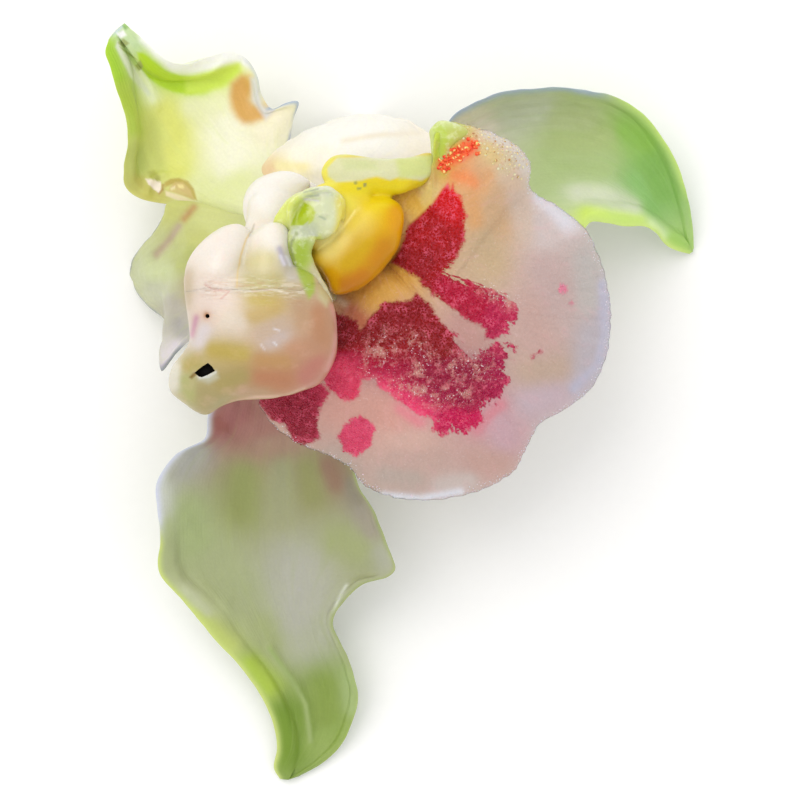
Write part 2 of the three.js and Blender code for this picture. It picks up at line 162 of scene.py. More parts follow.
# Swellings, dents and ridges of a blade: radius, height and path.
DORSAL_SWELLS = [
    (1.4, 0.55, [(-26.6, 24.8), (-25.2, 24.9)]),
    (0.5, 0.45, [(-29.7, 24.3), (-29.5, 25.5), (-28.7, 26.2), (-27.8, 26.3)]),
    (1.3, -0.25, [(-30.6, 39.2), (-30.2, 37)]),
    (0.35, 0.18, [(-31.1, 42), (-30.2, 39), (-29.2, 36.5), (-28.6, 34.4)]),
]
PETAL_LEFT_SWELLS = [
    (1.3, 0.4, [(-29.2, 14.6), (-27.4, 14.8)]),
    (0.6, -0.35, [(-24.9, 21.7), (-26.8, 19.1), (-28.9, 16.7)]),
    (0.9, 0.35, [(-24, 18), (-25.6, 15.4), (-26.2, 12.6)]),
]
PETAL_RIGHT_SWELLS = [(3.0, 0.35, [(-2.0, 30.8)]), (0.5, -0.18, [(-6.4, 29.9), (-2.6, 31.2), (2, 30.6)])]
LEFT_SEPAL_SWELLS = [
    (0.6, 0.3, [(-15.5, -29.5), (-12.9, -33.3), (-11.2, -36.4), (-10.7, -40.9)]),
    (1.0, 0.25, [(-23.5, -22.3), (-20.5, -24.8)]),
    (1.4, -0.4, [(-21, -2), (-17, -5)]),
]
RIGHT_SEPAL_SWELLS = [(1.4, -0.35, [(21, 23.6), (27, 24.2)]), (1.0, 0.25, [(24, 30.5), (29, 27.5)])]

# The lip: outline of its blade, the place of its crown and the two keels and lobes on it.
LIP_OUTLINE = [
    (24.2, 9.4, 22), (23.3, 14.9, 23), (21.4, 19.2, 24), (18.2, 21.9, 26), (14.7, 24, 29),
    (14.7, 26.4, 31), (13.2, 28.4, 33), (10, 30, 34), (6.9, 30.9, 34.5), (4.8, 30.9, 35),
    (3.8, 29.4, 36), (3.6, 26.9, 35), (0, 26, 32), (-3.9, 25, 29), (-5.5, 22.5, 23.5),
    (-6.5, 21.4, 20.9), (-5.7, 19.9, 22.8), (-7.9, 18.1, 28), (-8.3, 14.4, 29.5), (-9.9, 8.8, 28.5),
    (-12.5, 4.5, 27), (-16.1, 0.5, 26), (-14.8, -2.5, 25), (-11.2, -5.2, 24), (-8, -6.4, 24),
    (-5.7, -7.8, 24), (-4, -9.8, 23.5), (-0.6, -11.2, 22.5), (3.4, -11.5, 22), (9.2, -10.4, 21.5),
    (13.1, -8.1, 22), (14.2, -6.1, 23), (16, -2.7, 24), (18.5, -1.3, 23.5), (21.7, 1.1, 22.5),
    (23.5, 4.4, 22),
]
LIP_CROWN = (3.3, 10, 33.5)
LIP_DOME_POWER = 2.2
VEIN_ORIGIN = (-3.0, 17.0)
NEAR_KEEL = [
    (-10.2, 16.4), (-8.9, 17), (-7.7, 17.9), (-6.6, 19.1), (-5.6, 20.7), (-4.5, 22), (-2.8, 22.6),
    (-1.1, 22.5), (0, 21.7), (0.45, 19.8), (0.1, 18), (-0.6, 16.2), (-1.6, 14.8), (-2.8, 13.6),
    (-4.2, 12.5), (-5.6, 12), (-6.9, 11.8), (-7.7, 12.1), (-8.3, 13.2), (-9.2, 14.6), (-10, 15.5),
]
SADDLE = [
    (-9.5, 23.6), (-4.2, 23.8), (-3.2, 22), (-5, 20), (-6.6, 18), (-8.5, 16.8), (-10.4, 17.2),
    (-10.6, 19.5),
]
FAR_KEEL = [
    (-8.8, 25.4), (-7.4, 27.2), (-2.8, 27), (0.6, 27), (3.6, 27.5), (4.2, 26), (3, 24.4), (1.2, 23.4),
    (-0.2, 22.8), (-5, 22.9), (-8, 23.9),
]
LOBE_CURL = [
    (-14, 19.6), (-12.9, 21.7), (-11.9, 22.7), (-10.6, 23.2), (-9, 23.5), (-7.7, 23.2), (-6.8, 22.4),
    (-6.3, 21.2), (-6.6, 19.6), (-7.3, 18.5), (-8.6, 17.7), (-9.6, 17.9), (-11, 18.4), (-12.4, 18.8),
]
LOBE_BACK = [
    (-12.1, 18.9), (-12.8, 17.7), (-12.9, 16.9), (-12.5, 15.5), (-12, 13.9), (-11.4, 12.2), (-10.6, 10.8),
    (-9, 10.2), (-7.5, 10.4), (-7.6, 11.6), (-8.3, 12.9), (-9, 14.2), (-9.5, 15.3), (-9.9, 16.4),
    (-9.4, 17.7), (-10.2, 18.9),
]
CURL_SWELLS = [
    (0.8, -0.55, [(-10.9, 21.6), (-11.6, 20)]),
    (0.3, -0.25, [(-10.6, 22.3), (-9, 22.3)]),
    (0.3, -0.2, [(-10.4, 22.8), (-8.9, 23.1)]),
    (0.4, -0.25, [(-9, 20.2), (-8.2, 20)]),
]
FAR_LOBE_HEM = [
    (3.4, 30.1), (4.1, 31), (5.3, 31.1), (6.9, 30.5), (7.8, 29.8), (7.2, 29), (6.4, 28.3), (5.9, 27.3),
    (5.3, 26.3), (4.5, 25.9), (3.8, 26.3), (3.4, 28.2),
]
# The crimson stain on the lip, one outline for each patch.
STAIN_PATCHES = [
    [
        (5.4, 24.2), (4.6, 23.4), (3.6, 21.9), (0.9, 19.5), (0.2, 17.3), (-1, 15.4), (0.9, 14.3),
        (2, 13.5), (2.7, 12.5), (4.5, 11.2), (6.3, 9.8), (7.8, 8.7), (8.7, 8.5), (9.6, 7.8), (9.4, 6.9),
        (10.4, 6.8), (11.5, 7.1), (12.1, 8.2), (13.2, 9.5), (13, 10.9), (11, 11.6), (9.4, 13),
        (7.3, 13.1), (4.8, 14.1), (6.1, 15.4), (7.1, 17.5), (7.4, 20.6), (6.8, 22.8), (6.3, 22.9),
        (5.9, 24.3), (5.6, 23.4),
    ],
    [
        (-8.4, 1.7), (-8.8, 4.5), (-8.4, 7.9), (-7.4, 10.1), (-6.4, 9.5), (-4.8, 9), (-4.4, 7.8),
        (-3.2, 9.5), (-1.6, 11), (0.4, 11.1), (1.2, 11.3), (1.9, 11.9), (3.3, 10.9), (4.2, 9.2),
        (5.8, 7.3), (6.3, 6.1), (7.8, 4.8), (9, 4.7), (9.5, 5.9), (10.9, 6.4), (13, 6.1), (11.9, 5.6),
        (12.6, 5.2), (11.8, 4.5), (12.2, 2.5), (11, 0.2), (9.9, -0.5), (9.2, -1.4), (9.1, -2.5),
        (7, -3.6), (5.9, -3.2), (4.3, -4.1), (3.8, -3.2), (4, -2.2), (2.2, -1.6), (0.2, -0.4),
        (-1.6, 1.1), (-2.6, 1.6), (-2.7, 2.5), (-4.3, 2.2), (-4.7, 0.3), (-5.6, -0.2), (-7.3, 0.5),
    ],
    [
        (-16.5, 0.5), (-15.7, -1.1), (-14.6, -2.4), (-13.2, -2.7), (-12.1, -4.9), (-10.9, -5.2),
        (-9, -4.3), (-9.4, -2), (-9, -0.9), (-7.8, 0.8), (-8.8, 1.8), (-9.9, 2.3), (-12.4, 2),
        (-14.7, 1.7),
    ],
    [
        (-7.1, -4.1), (-6.6, -3.2), (-5.4, -2), (-4.5, -1.8), (-3.6, -2.1), (-2.8, -3.2), (-3.3, -5.2),
        (-4.8, -6.4), (-6.6, -5.7),
    ],
]
STAIN_FLECKS = [((18.4, 12.6), 0.5), ((19.4, 10.9), 0.28), ((15.1, 4.9), 0.25), ((15.7, 5.4), 0.2)]
FRAYED_EDGES = [
    ("band's far edge", 2.0, [(5.5, 13.6), (12.5, 10.8), (12.5, 6)]),
    ("rays", 2.6, [(12.2, 3), (10.2, -1), (6, -3.2)]),
    ("heart's inner edge", 1.5, [(6, 7), (8.5, 5)]),
]
CRISP_EDGES = [("arm's near edge", 0.9, [(5.5, 24.2), (3.6, 22), (0.9, 19.6), (0.2, 17.2), (-0.9, 15.4)])]
WORN_PLACES = [
    ("left of the heart", 1.9, [(-1.9, 5.6), (-2.6, 4.2)]),
    ("beige track", 1.2, [(1.1, 6.6), (3.1, 4.3), (2, 2.8)]),
    ("lower track", 1.2, [(0, 1.8), (3.6, 0.5), (7, 0.6)]),
    ("right of the heart", 1.5, [(6.2, 3.6), (9.4, 3.8)]),
    ("far edge of the band", 0.9, [(9.5, 12.6), (12.3, 11)]),
]
ORANGE_GRAINS = [("orange grains", 1.15, [(4.9, 26.3), (6.6, 27.5), (7.9, 28.2)])]
PALE_WARTS = [("warts", 2.1, [(7.4, 29.6), (10.4, 28.6), (12.6, 26.6)])]

# The column: its arched stalk, its crown and the two shoulders behind the cap.
COLUMN_PATH = [
    (-9.2, 21.6, 20.2), (-9.4, 21.65, 22), (-11.2, 22, 25), (-13.6, 22, 29), (-14.6, 19.6, 33),
    (-15.4, 15.6, 35.5),
]
COLUMN_RADII = [2.6, 2.8, 3.1, 3.1, 2.6, 2.6]
COLUMN_CROWN = [
    (-17.3, 23.6), (-16.3, 24.8), (-14.8, 25.4), (-12.9, 25.7), (-11.2, 25.4), (-10.1, 24.5),
    (-10.6, 22.4), (-11.4, 20.4), (-13.3, 18.6), (-15.5, 18.4), (-17.1, 19.6), (-17.6, 21.9),
]
LEFT_SHOULDER = [
    (-23.0, 10.4), (-23.8, 13.5), (-23.5, 15.3), (-22.4, 17.1), (-21, 18.4), (-19.4, 19.2), (-17.7, 19.3),
    (-16.6, 18.4), (-16.1, 16.8), (-16.5, 14.6), (-16.6, 12.4), (-17, 10.2), (-20, 9.6),
]
RIGHT_SHOULDER = [
    (-17.9, 11.2), (-18, 14.2), (-17.6, 16.1), (-16.8, 17.9), (-15.5, 19.1), (-14.1, 19.7), (-12.9, 19.5),
    (-12.3, 18.5), (-12.3, 16.8), (-11.8, 15.3), (-11.3, 13.6), (-10.8, 12), (-10.9, 10.8), (-12.4, 9.8),
    (-15.6, 9.8),
]
TONGUE = {"centre": (-17, 10.6, 36.8), "half": (2.2, 3.6, 1.2)}

# The anther cap, its slit and pore, the hollow under it and what that holds.
CAP_OUTLINE = [
    (-23.6, 14.1), (-23.8, 12.1), (-23.6, 10.2), (-23.3, 8.3), (-23.3, 6.4), (-24.1, 5.1), (-25.1, 4),
    (-25.6, 2.4), (-25.3, 0.9), (-24.2, -0.2), (-22.7, -1.2), (-21.4, -1.6), (-19.8, -0.7),
    (-17.9, -0.05), (-15.9, 0.17), (-13.8, 0.2), (-12.1, 0.44), (-10.7, 1), (-9.05, 1.8), (-7.95, 3.2),
    (-7.3, 4.75), (-7, 6.6), (-7, 8.6), (-7.4, 10.5), (-8.2, 12.1), (-9.4, 13.8), (-11, 14.6),
    (-14.4, 15.2), (-18.2, 15.2), (-21.5, 15),
]
CAP_SIDE = [
    (-30, 11.6), (-23.6, 11.9), (-21, 12.3), (-17, 12), (-13, 12.2), (-11, 12), (-9.6, 12.8),
    (-4, 13.2), (-4, -4), (-30, -4),
]
SLIT = [
    (-22.58, 2.97), (-22.09, 2.58), (-21.76, 2.49), (-21.1, 2.75), (-20.28, 3.19), (-20.6, 3.68),
    (-21.05, 4.07), (-21.6, 3.74), (-22.2, 3.3),
]
SLIT_SPAN = (39.6, 45)
PORE = {"centre": (-21.1, 9.2), "radius": 0.23, "span": (40.4, 45)}
CAP_SPAN = (20, 50)
CAP_HOLLOW = {"centre": (-17, 8.2, 35.8), "half": (3.6, 4.6, 3.8)}
POLLINIA = {"pollinium_left": (-18.3, 7, 38.4), "pollinium_right": (-15.7, 7, 38.4)}
POLLINIUM_HALF = (1.1, 1, 0.9)
VISCIDIUM = {"centre": (-17, 5.5, 36.6), "half": (1.8, 0.9, 0.5)}

# The ovary and the cut stalk.
STALK_PATH = [
    (-9.2, 21.6, 19.9), (-9.15, 21.5, 15.5), (-8, 19.3, 10.2), (-5, 15.4, 5.6), (-0.2, 11, 3),
    (4.8, 6.6, 2.25), (9.3, 2.6, 2.15),
]
STALK_RADII = [2.1, 2.7, 2.9, 2.7, 2.2, 1.95, 1.9]
STALK_RIBS = 6
STALK_RIB_DEPTH = 0.12

# Ground colours, and soft strokes laid over them: what it is, its colour as read off the photo,
# its radius and its path, seen from above.
GROUNDS = {
    "dorsal_sepal": (228, 230, 182), "petal_left": (198, 200, 170), "petal_right": (250, 248, 239),
    "lateral_sepal_right": (180, 196, 144), "lateral_sepal_left": (174, 180, 136), "lip": (200, 170, 160),
    "stain": (170, 58, 76), "column": (245, 237, 223), "anther_cap": (200, 172, 140),
    "keels": (220, 186, 50), "near_lobe": (206, 214, 130), "far_lobe_hem": (200, 212, 96),
}

# What the studio does to each colour: how brightly a piece is lit, and the veil of its gloss.
LIGHTS = {
    "dorsal_sepal": (1.0, 0.02), "petal_left": (1.14, 0.03), "petal_right": (1.09, 0.03),
    "lateral_sepal_right": (0.93, 0.02), "lateral_sepal_left": (1.03, 0.015), "lip": (1.04, 0.015),
    "stain": (1.03, 0.05), "column": (1.12, 0.035), "anther_cap": (1.12, 0.035), "keels": (0.98, 0.02),
    "near_lobe": (1.14, 0.04), "far_lobe_hem": (1.1, 0.03),
}
DARKEST = 0.003
LIGHTEST = 0.95

# Strokes wider than this flow into each other, finer ones are laid over them.
FINE_STROKE = 0.55
GROUND_WEIGHT = 0.03

# Swellings of the lip and the cap: radius, height and path.
LIP_SWELLS = [
    (2.6, 0.8, [(9.2, 28)]), (1.0, -0.5, [(6.2, 24.6)]), (1.0, -0.4, [(9.2, 24.4)]),
    (1.6, -0.4, [(2.2, 20.8)]),
]
CAP_SWELLS = [(2.6, 0.4, [(-11.0, 6.0)]), (2.4, -0.6, [(-21.9, 1.6)]), (1.8, 0.25, [(-16.5, 3.4)])]

# The cushions that make up the column's end, the keels and the near lobe: height of the rim,
# how far each rises and sinks from it, its middle and how square its sides are.
HEAD_CUSHIONS = {
    "column_crown": {"outline": COLUMN_CROWN, "base": 29.5, "rise": 3.4, "sink": 3.2},
    "left_shoulder": {
        "outline": LEFT_SHOULDER, "base": 36.9, "rise": 4.4, "sink": 3.8, "centre": (-19.8, 14),
    },
    "right_shoulder": {
        "outline": RIGHT_SHOULDER, "base": 37, "rise": 4.7, "sink": 3.8, "centre": (-14.4, 14.4),
    },
    "cap_block": {
        "outline": CAP_OUTLINE, "base": 37.4, "rise": 5.3, "sink": 4.6, "centre": (-16, 7), "power": 2.5,
        "swells": CAP_SWELLS,
    },
}
KEEL_CUSHIONS = {
    "near_keel": {"outline": NEAR_KEEL, "base": 34.6, "rise": 3.0, "sink": 5.0, "power": 2.1},
    "saddle": {"outline": SADDLE, "base": 35.4, "rise": 1.3, "sink": 3.4},
    "far_keel": {"outline": FAR_KEEL, "base": 33.6, "rise": 2.4, "sink": 2.4, "power": 2.9},
}
LOBE_CUSHIONS = {
    "near_lobe_curl": {
        "outline": LOBE_CURL, "base": 37.2, "rise": 1.2, "sink": 1.6, "swells": CURL_SWELLS,
    },
    "near_lobe_back": {"outline": LOBE_BACK, "base": 37.8, "rise": 0.8, "sink": 2.6},
}
HEM_CUSHION = {"outline": FAR_LOBE_HEM, "base": 33.9, "rise": 1.5, "sink": 1.8}

# Soft unevenness of each body: how far apart its humps are, how high, and the seed of their draw.
HUMPS = {
    "head": (4.5, 0.09, 41), "keels": (2.6, 0.07, 71), "near_lobe": (1.6, 0.04, 82),
    "far_lobe_hem": (1.8, 0.06, 91), "pollinium": (0.6, 0.012, 61), "viscidium": (0.8, 0.03, 62),
}

# Grains of the lip: the attribute that says where they grow, their spacing, the radius of the
# smallest and the largest, and how tall they stand for their width.
LIP_GRAINS = {
    "lip_papillae": ("velvet", 0.25, 0.08, 0.17, 0.55),
    "lip_orange_grains": ("granular", 0.27, 0.14, 0.3, 0.8),
    "lip_warts": ("warty", 0.44, 0.08, 0.22, 0.4),
    "lip_rim_fuzz": ("fringe", 0.32, 0.03, 0.09, 1.2),
}

# The small folds where the cap meets the shoulders.
SEAM = {
    "path": [(-21, 12.2), (-16, 12.4), (-11, 12)], "radius": 1.1, "above": 39.5, "spacing": 0.62,
    "height": 0.07,
}

# The near lobe's foot and rim, as it stands beside the column.
LOBE_RIM = [
    (-8.3, 11, 32), (-9.8, 13.3, 34.4), (-11.2, 16.4, 35.6), (-12.3, 19.3, 38), (-12.1, 21.6, 39),
    (-10.3, 23.2, 39), (-7.8, 23.3, 38.5), (-6.2, 21.8, 37.5), (-6.3, 19.7, 36.5), (-7.3, 17.8, 35),
]
LOBE_FOOT = [
    (-6.8, 11.3, 29), (-7.4, 13.5, 29), (-8.1, 15.8, 29.5), (-8.9, 18, 30.5), (-9.6, 19.6, 31.5),
    (-9.3, 20.7, 31.5), (-8.7, 21.3, 31.5), (-7.9, 20.9, 30.5), (-7.6, 20.1, 29.5), (-7.2, 18.5, 27.5),
]
GRAIN_SEED = 7
FRINGE_FROM = (8.0, 0.0)
OVARY_TOP = (-9.2, 21.6)
KEEL_PASSES = 26
LOBE_VOXEL = 0.15
LOBE_PASSES = 3

# The studio
CAMERA_SENSOR = 36.0
FLOOR_HALF_WIDTH = 3.0
WORLD_STRENGTH = 0.95
KEY_LAMP = {
    "place": (-0.6, 0.7, 1.5), "width": 1.2, "watts": 10.0,
    "target": (0, 0, 0.02), "shades": (255, 250, 244),
}

DORSAL_SEPAL_STROKES = [
    ("yellow flush", (222, 224, 122), 1.9, [(-27.4, 33.9), (-26.3, 31.4), (-26.4, 27.5)]),
    ("yellow-green side", (202, 208, 120), 1.3, [(-29.5, 32.8), (-29.1, 29.2), (-28.3, 27.1)]),
    ("pale middle", (240, 239, 218), 2.6, [(-20.6, 31.8), (-19.7, 28.3)]),
    ("pale upper side", (234, 236, 196), 1.4, [(-24.6, 34.6), (-21.6, 34.6)]),
    ("warm corner", (238, 232, 206), 1.4, [(-15.9, 31.4), (-14, 32.8)]),
    ("green base", (222, 227, 170), 1.9, [(-22.8, 25), (-20.8, 24), (-18.7, 25.7)]),
    ("lower green", (216, 221, 152), 1.1, [(-22.8, 22.8), (-21.5, 22)]),
    ("left hem", (178, 201, 80), 1.1, [(-32.5, 36.7), (-31.6, 33.9), (-31.1, 31.8)]),
    ("left hem's foot", (186, 196, 112), 1.1, [(-30.8, 29.2), (-30.5, 27.1)]),
    ("green tip", (166, 204, 60), 1.1, [(-34.2, 41.2), (-33.6, 39.5), (-33, 37.7)]),
    ("tip hollow", (232, 238, 206), 0.8, [(-30.5, 38.4), (-29.2, 35.6)]),
    ("pale tip", (206, 226, 180), 1.1, [(-32.3, 43.1), (-31.1, 41.9)]),
    ("upper hem crease", (192, 224, 58), 0.9, [(-29.7, 39.3), (-28.1, 37.9), (-25.7, 37), (-23.4, 36.7)]),
    ("upper hem crease end", (224, 238, 140), 0.9, [(-21.1, 37.4), (-19, 38.8)]),
    # Painted highlight: near white along the lit top of the rolled upper hem.
    ("painted highlight on the hem's top", (248, 251, 246), 0.9,
     [(-26.2, 39.3), (-23.4, 39.8), (-20.5, 40.2), (-18, 39.8)]),
    ("olive bulge", (188, 182, 98), 1.1, [(-30.5, 25.7), (-29.5, 24.1), (-28.1, 23.9)]),
    # Brown inside the curve of the upper hem.
    ("brown patch", (212, 164, 84), 0.8, [(-18, 37), (-18.6, 35.3), (-18, 33.9), (-16.1, 33.7)]),
    ("bluish margin", (150, 166, 192), 0.2, [(-15.7, 34), (-14.5, 34.4), (-12.9, 35.5), (-12.1, 35.6)]),
]

PETAL_LEFT_STROKES = [
    ("green shoulder", (217, 221, 150), 1.4, [(-22.4, 21.4), (-21.7, 19.8)]),
    ("green top edge", (204, 206, 126), 0.9, [(-26.8, 21.9), (-25.6, 22.8)]),
    ("pale green shoulder", (206, 209, 130), 1.2, [(-23.8, 18.6), (-22.7, 19.1)]),
    ("green middle", (193, 199, 124), 1.4, [(-24.5, 17.2), (-25.6, 16.1)]),
    ("pale bulge", (208, 216, 165), 1.4, [(-29.1, 14.9), (-27.5, 15.1)]),
    ("greyed bulge", (206, 208, 180), 1.2, [(-29.4, 13), (-28.2, 12.6)]),
    ("brown crease", (200, 168, 112), 0.5, [(-24.1, 22.5), (-25.2, 21.2)]),
    ("pinkish crease", (196, 178, 150), 0.5, [(-25.9, 20.3), (-27.3, 18.6), (-28.7, 17.2)]),
    ("grey end", (190, 184, 170), 1.3, [(-26.8, 11.4), (-25.6, 10.3)]),
    ("tan by the column", (190, 176, 142), 1, [(-24.5, 13.5), (-24.5, 11.6)]),
    ("grey neck", (178, 174, 168), 0.9, [(-25.9, 9.1), (-25.4, 8.2)]),
    ("white point", (226, 218, 224), 0.9, [(-26.1, 6.1), (-26.6, 4.9)]),
    ("lilac point", (202, 182, 212), 0.5, [(-27.6, 3.6), (-26.8, 4.2)]),
]

PETAL_RIGHT_STROKES = [
    ("white dome", (250, 248, 240), 2.3, [(-8.1, 30.6), (-3.5, 31.6)]),
    ("warm end", (246, 238, 220), 1.6, [(2.3, 30.3), (2.9, 28.9)]),
    ("cream foot", (250, 244, 226), 1, [(-11.5, 28.2), (-8.7, 28.9)]),
    ("yellow foot", (245, 233, 176), 0.6, [(-14.1, 27), (-11.1, 26.8)]),
    ("brown shade", (232, 200, 158), 0.7, [(-17.3, 24.9), (-15.9, 26.2), (-14.8, 26.8)]),
    ("soft fold", (243, 234, 214), 0.4, [(-6.4, 29.9), (-2.3, 30.7), (2.1, 31.1)]),
]

LATERAL_SEPAL_RIGHT_STROKES = [
    ("pale base", (216, 208, 196), 1.4, [(8.2, 31.4), (9.6, 31.9)]),
    ("greyish upper side", (192, 198, 178), 1.6, [(13.5, 33.8), (16.4, 34.5)]),
    ("green upper side", (180, 192, 144), 1.6, [(18.8, 33.1), (21.7, 33.1)]),
    ("olive middle", (172, 188, 128), 1.6, [(18.8, 30.7), (22.3, 30.5), (24.6, 31.1)]),
    ("green end", (148, 190, 94), 1.5, [(26.4, 31.7), (28.7, 30.3)]),
    ("deep green end", (134, 179, 92), 1.5, [(29.3, 28.1), (30.7, 24.4)]),
    ("soft middle", (174, 192, 136), 1.6, [(18.8, 27.6), (23.5, 27.9)]),
    ("pale belly", (208, 214, 190), 1.1, [(20.9, 24.2), (24.2, 23.9), (27.7, 23)]),
    ("green flank", (146, 190, 116), 1.3, [(28.1, 26), (29.9, 22.9)]),
    ("lime hem", (204, 228, 112), 0.9, [(21.8, 21.8), (24.6, 21.2), (28.1, 20.9)]),
    ("pale hem fold", (222, 236, 190), 0.7, [(29.5, 20.4), (30.7, 19.2)]),
    ("green tip", (156, 198, 90), 0.8, [(32.4, 18.8), (33.5, 17.6)]),
]

LATERAL_SEPAL_LEFT_STROKES = [
    # The throat under the lip: painted shade, dull maroon to rosy, with a painted reflection of the lip's
    # crimson.
    ("painted shade of the throat, maroon", (164, 106, 104), 2.3, [(-20.9, -2.8), (-18.8, -1.9)]),
    ("painted shade of the throat, rosy", (174, 126, 116), 1.9, [(-17.6, -3.5), (-14.7, -2.9)]),
    ("throat's foot", (176, 146, 126), 1.4, [(-16.2, -5.4), (-12.9, -4.7)]),
    ("grey shoulder", (174, 174, 170), 1.6, [(-25.6, -7.3), (-23.9, -6.1)]),
    ("pale left side", (192, 195, 190), 1.1, [(-27.8, -10.1), (-27.7, -12.7)]),
    ("green left side", (168, 181, 128), 1.9, [(-24.6, -13.5), (-23.9, -16.4)]),
    ("olive left", (152, 160, 98), 1.8, [(-18.3, -9.1), (-18.8, -12.9)]),
    ("grey stripe", (164, 166, 128), 1.4, [(-13.8, -8.2), (-14.1, -12.9)]),
    ("olive right", (154, 156, 102), 1.4, [(-10.8, -8.2), (-10.3, -11.1)]),
    ("brown patch", (156, 124, 104), 1.1, [(-8.4, -7.7), (-7.5, -9.6)]),
    # Painted shade, grey-brown, along the right margin.
    ("painted shade along the right margin", (148, 140, 124), 0.9, [(-5.6, -9.8), (-4.9, -11.7)]),
    ("mauve side", (164, 156, 142), 1.1, [(-4.2, -13.1), (-3.3, -15.2)]),
    ("green side", (167, 174, 124), 1.6, [(-7, -16.4), (-5.2, -17.4)]),
    ("grey corner", (172, 173, 156), 0.9, [(-2.3, -17.8), (-1.6, -19)]),
    ("grey belly", (181, 181, 168), 2.6, [(-12.2, -20.5), (-11.7, -25.8)]),
    ("belly's foot", (178, 181, 158), 1.6, [(-11.7, -28.8), (-9.6, -26.4)]),
    ("olive flank", (170, 178, 134), 1.9, [(-21.7, -18.8), (-19.3, -22.3)]),
    ("green foot of the flank", (168, 177, 126), 1.6, [(-16.2, -27), (-15.5, -28.7)]),
    ("pale smear", (190, 196, 160), 0.8, [(-25.1, -22.7), (-22.9, -24.9)]),
    ("yellow hem", (188, 200, 112), 1.1, [(-23.9, -25.6), (-20.4, -29.1)]),
    ("lime hem", (172, 196, 76), 1.2, [(-17.6, -31.4), (-15.7, -34)]),
    ("tip green", (120, 150, 50), 1.9, [(-13.6, -37.8), (-13.4, -41.7)]),
    ("right green", (138, 159, 76), 1.9, [(-9.1, -34.2), (-8.7, -37.8)]),
    ("soft green", (150, 172, 92), 1.4, [(-10.1, -41), (-7.5, -39.6)]),
    ("pale right side", (164, 182, 122), 0.9, [(-6.3, -32.8), (-5.9, -36.6)]),
    ("central vein", (158, 176, 112), 0.3,
     [(-15.5, -29.5), (-12.9, -33.3), (-11.3, -36.3), (-10.7, -40.8)]),
    ("lit notch", (214, 218, 206), 0.2, [(-7.7, -24.9), (-7.3, -23.5), (-6.3, -21.8)]),
]

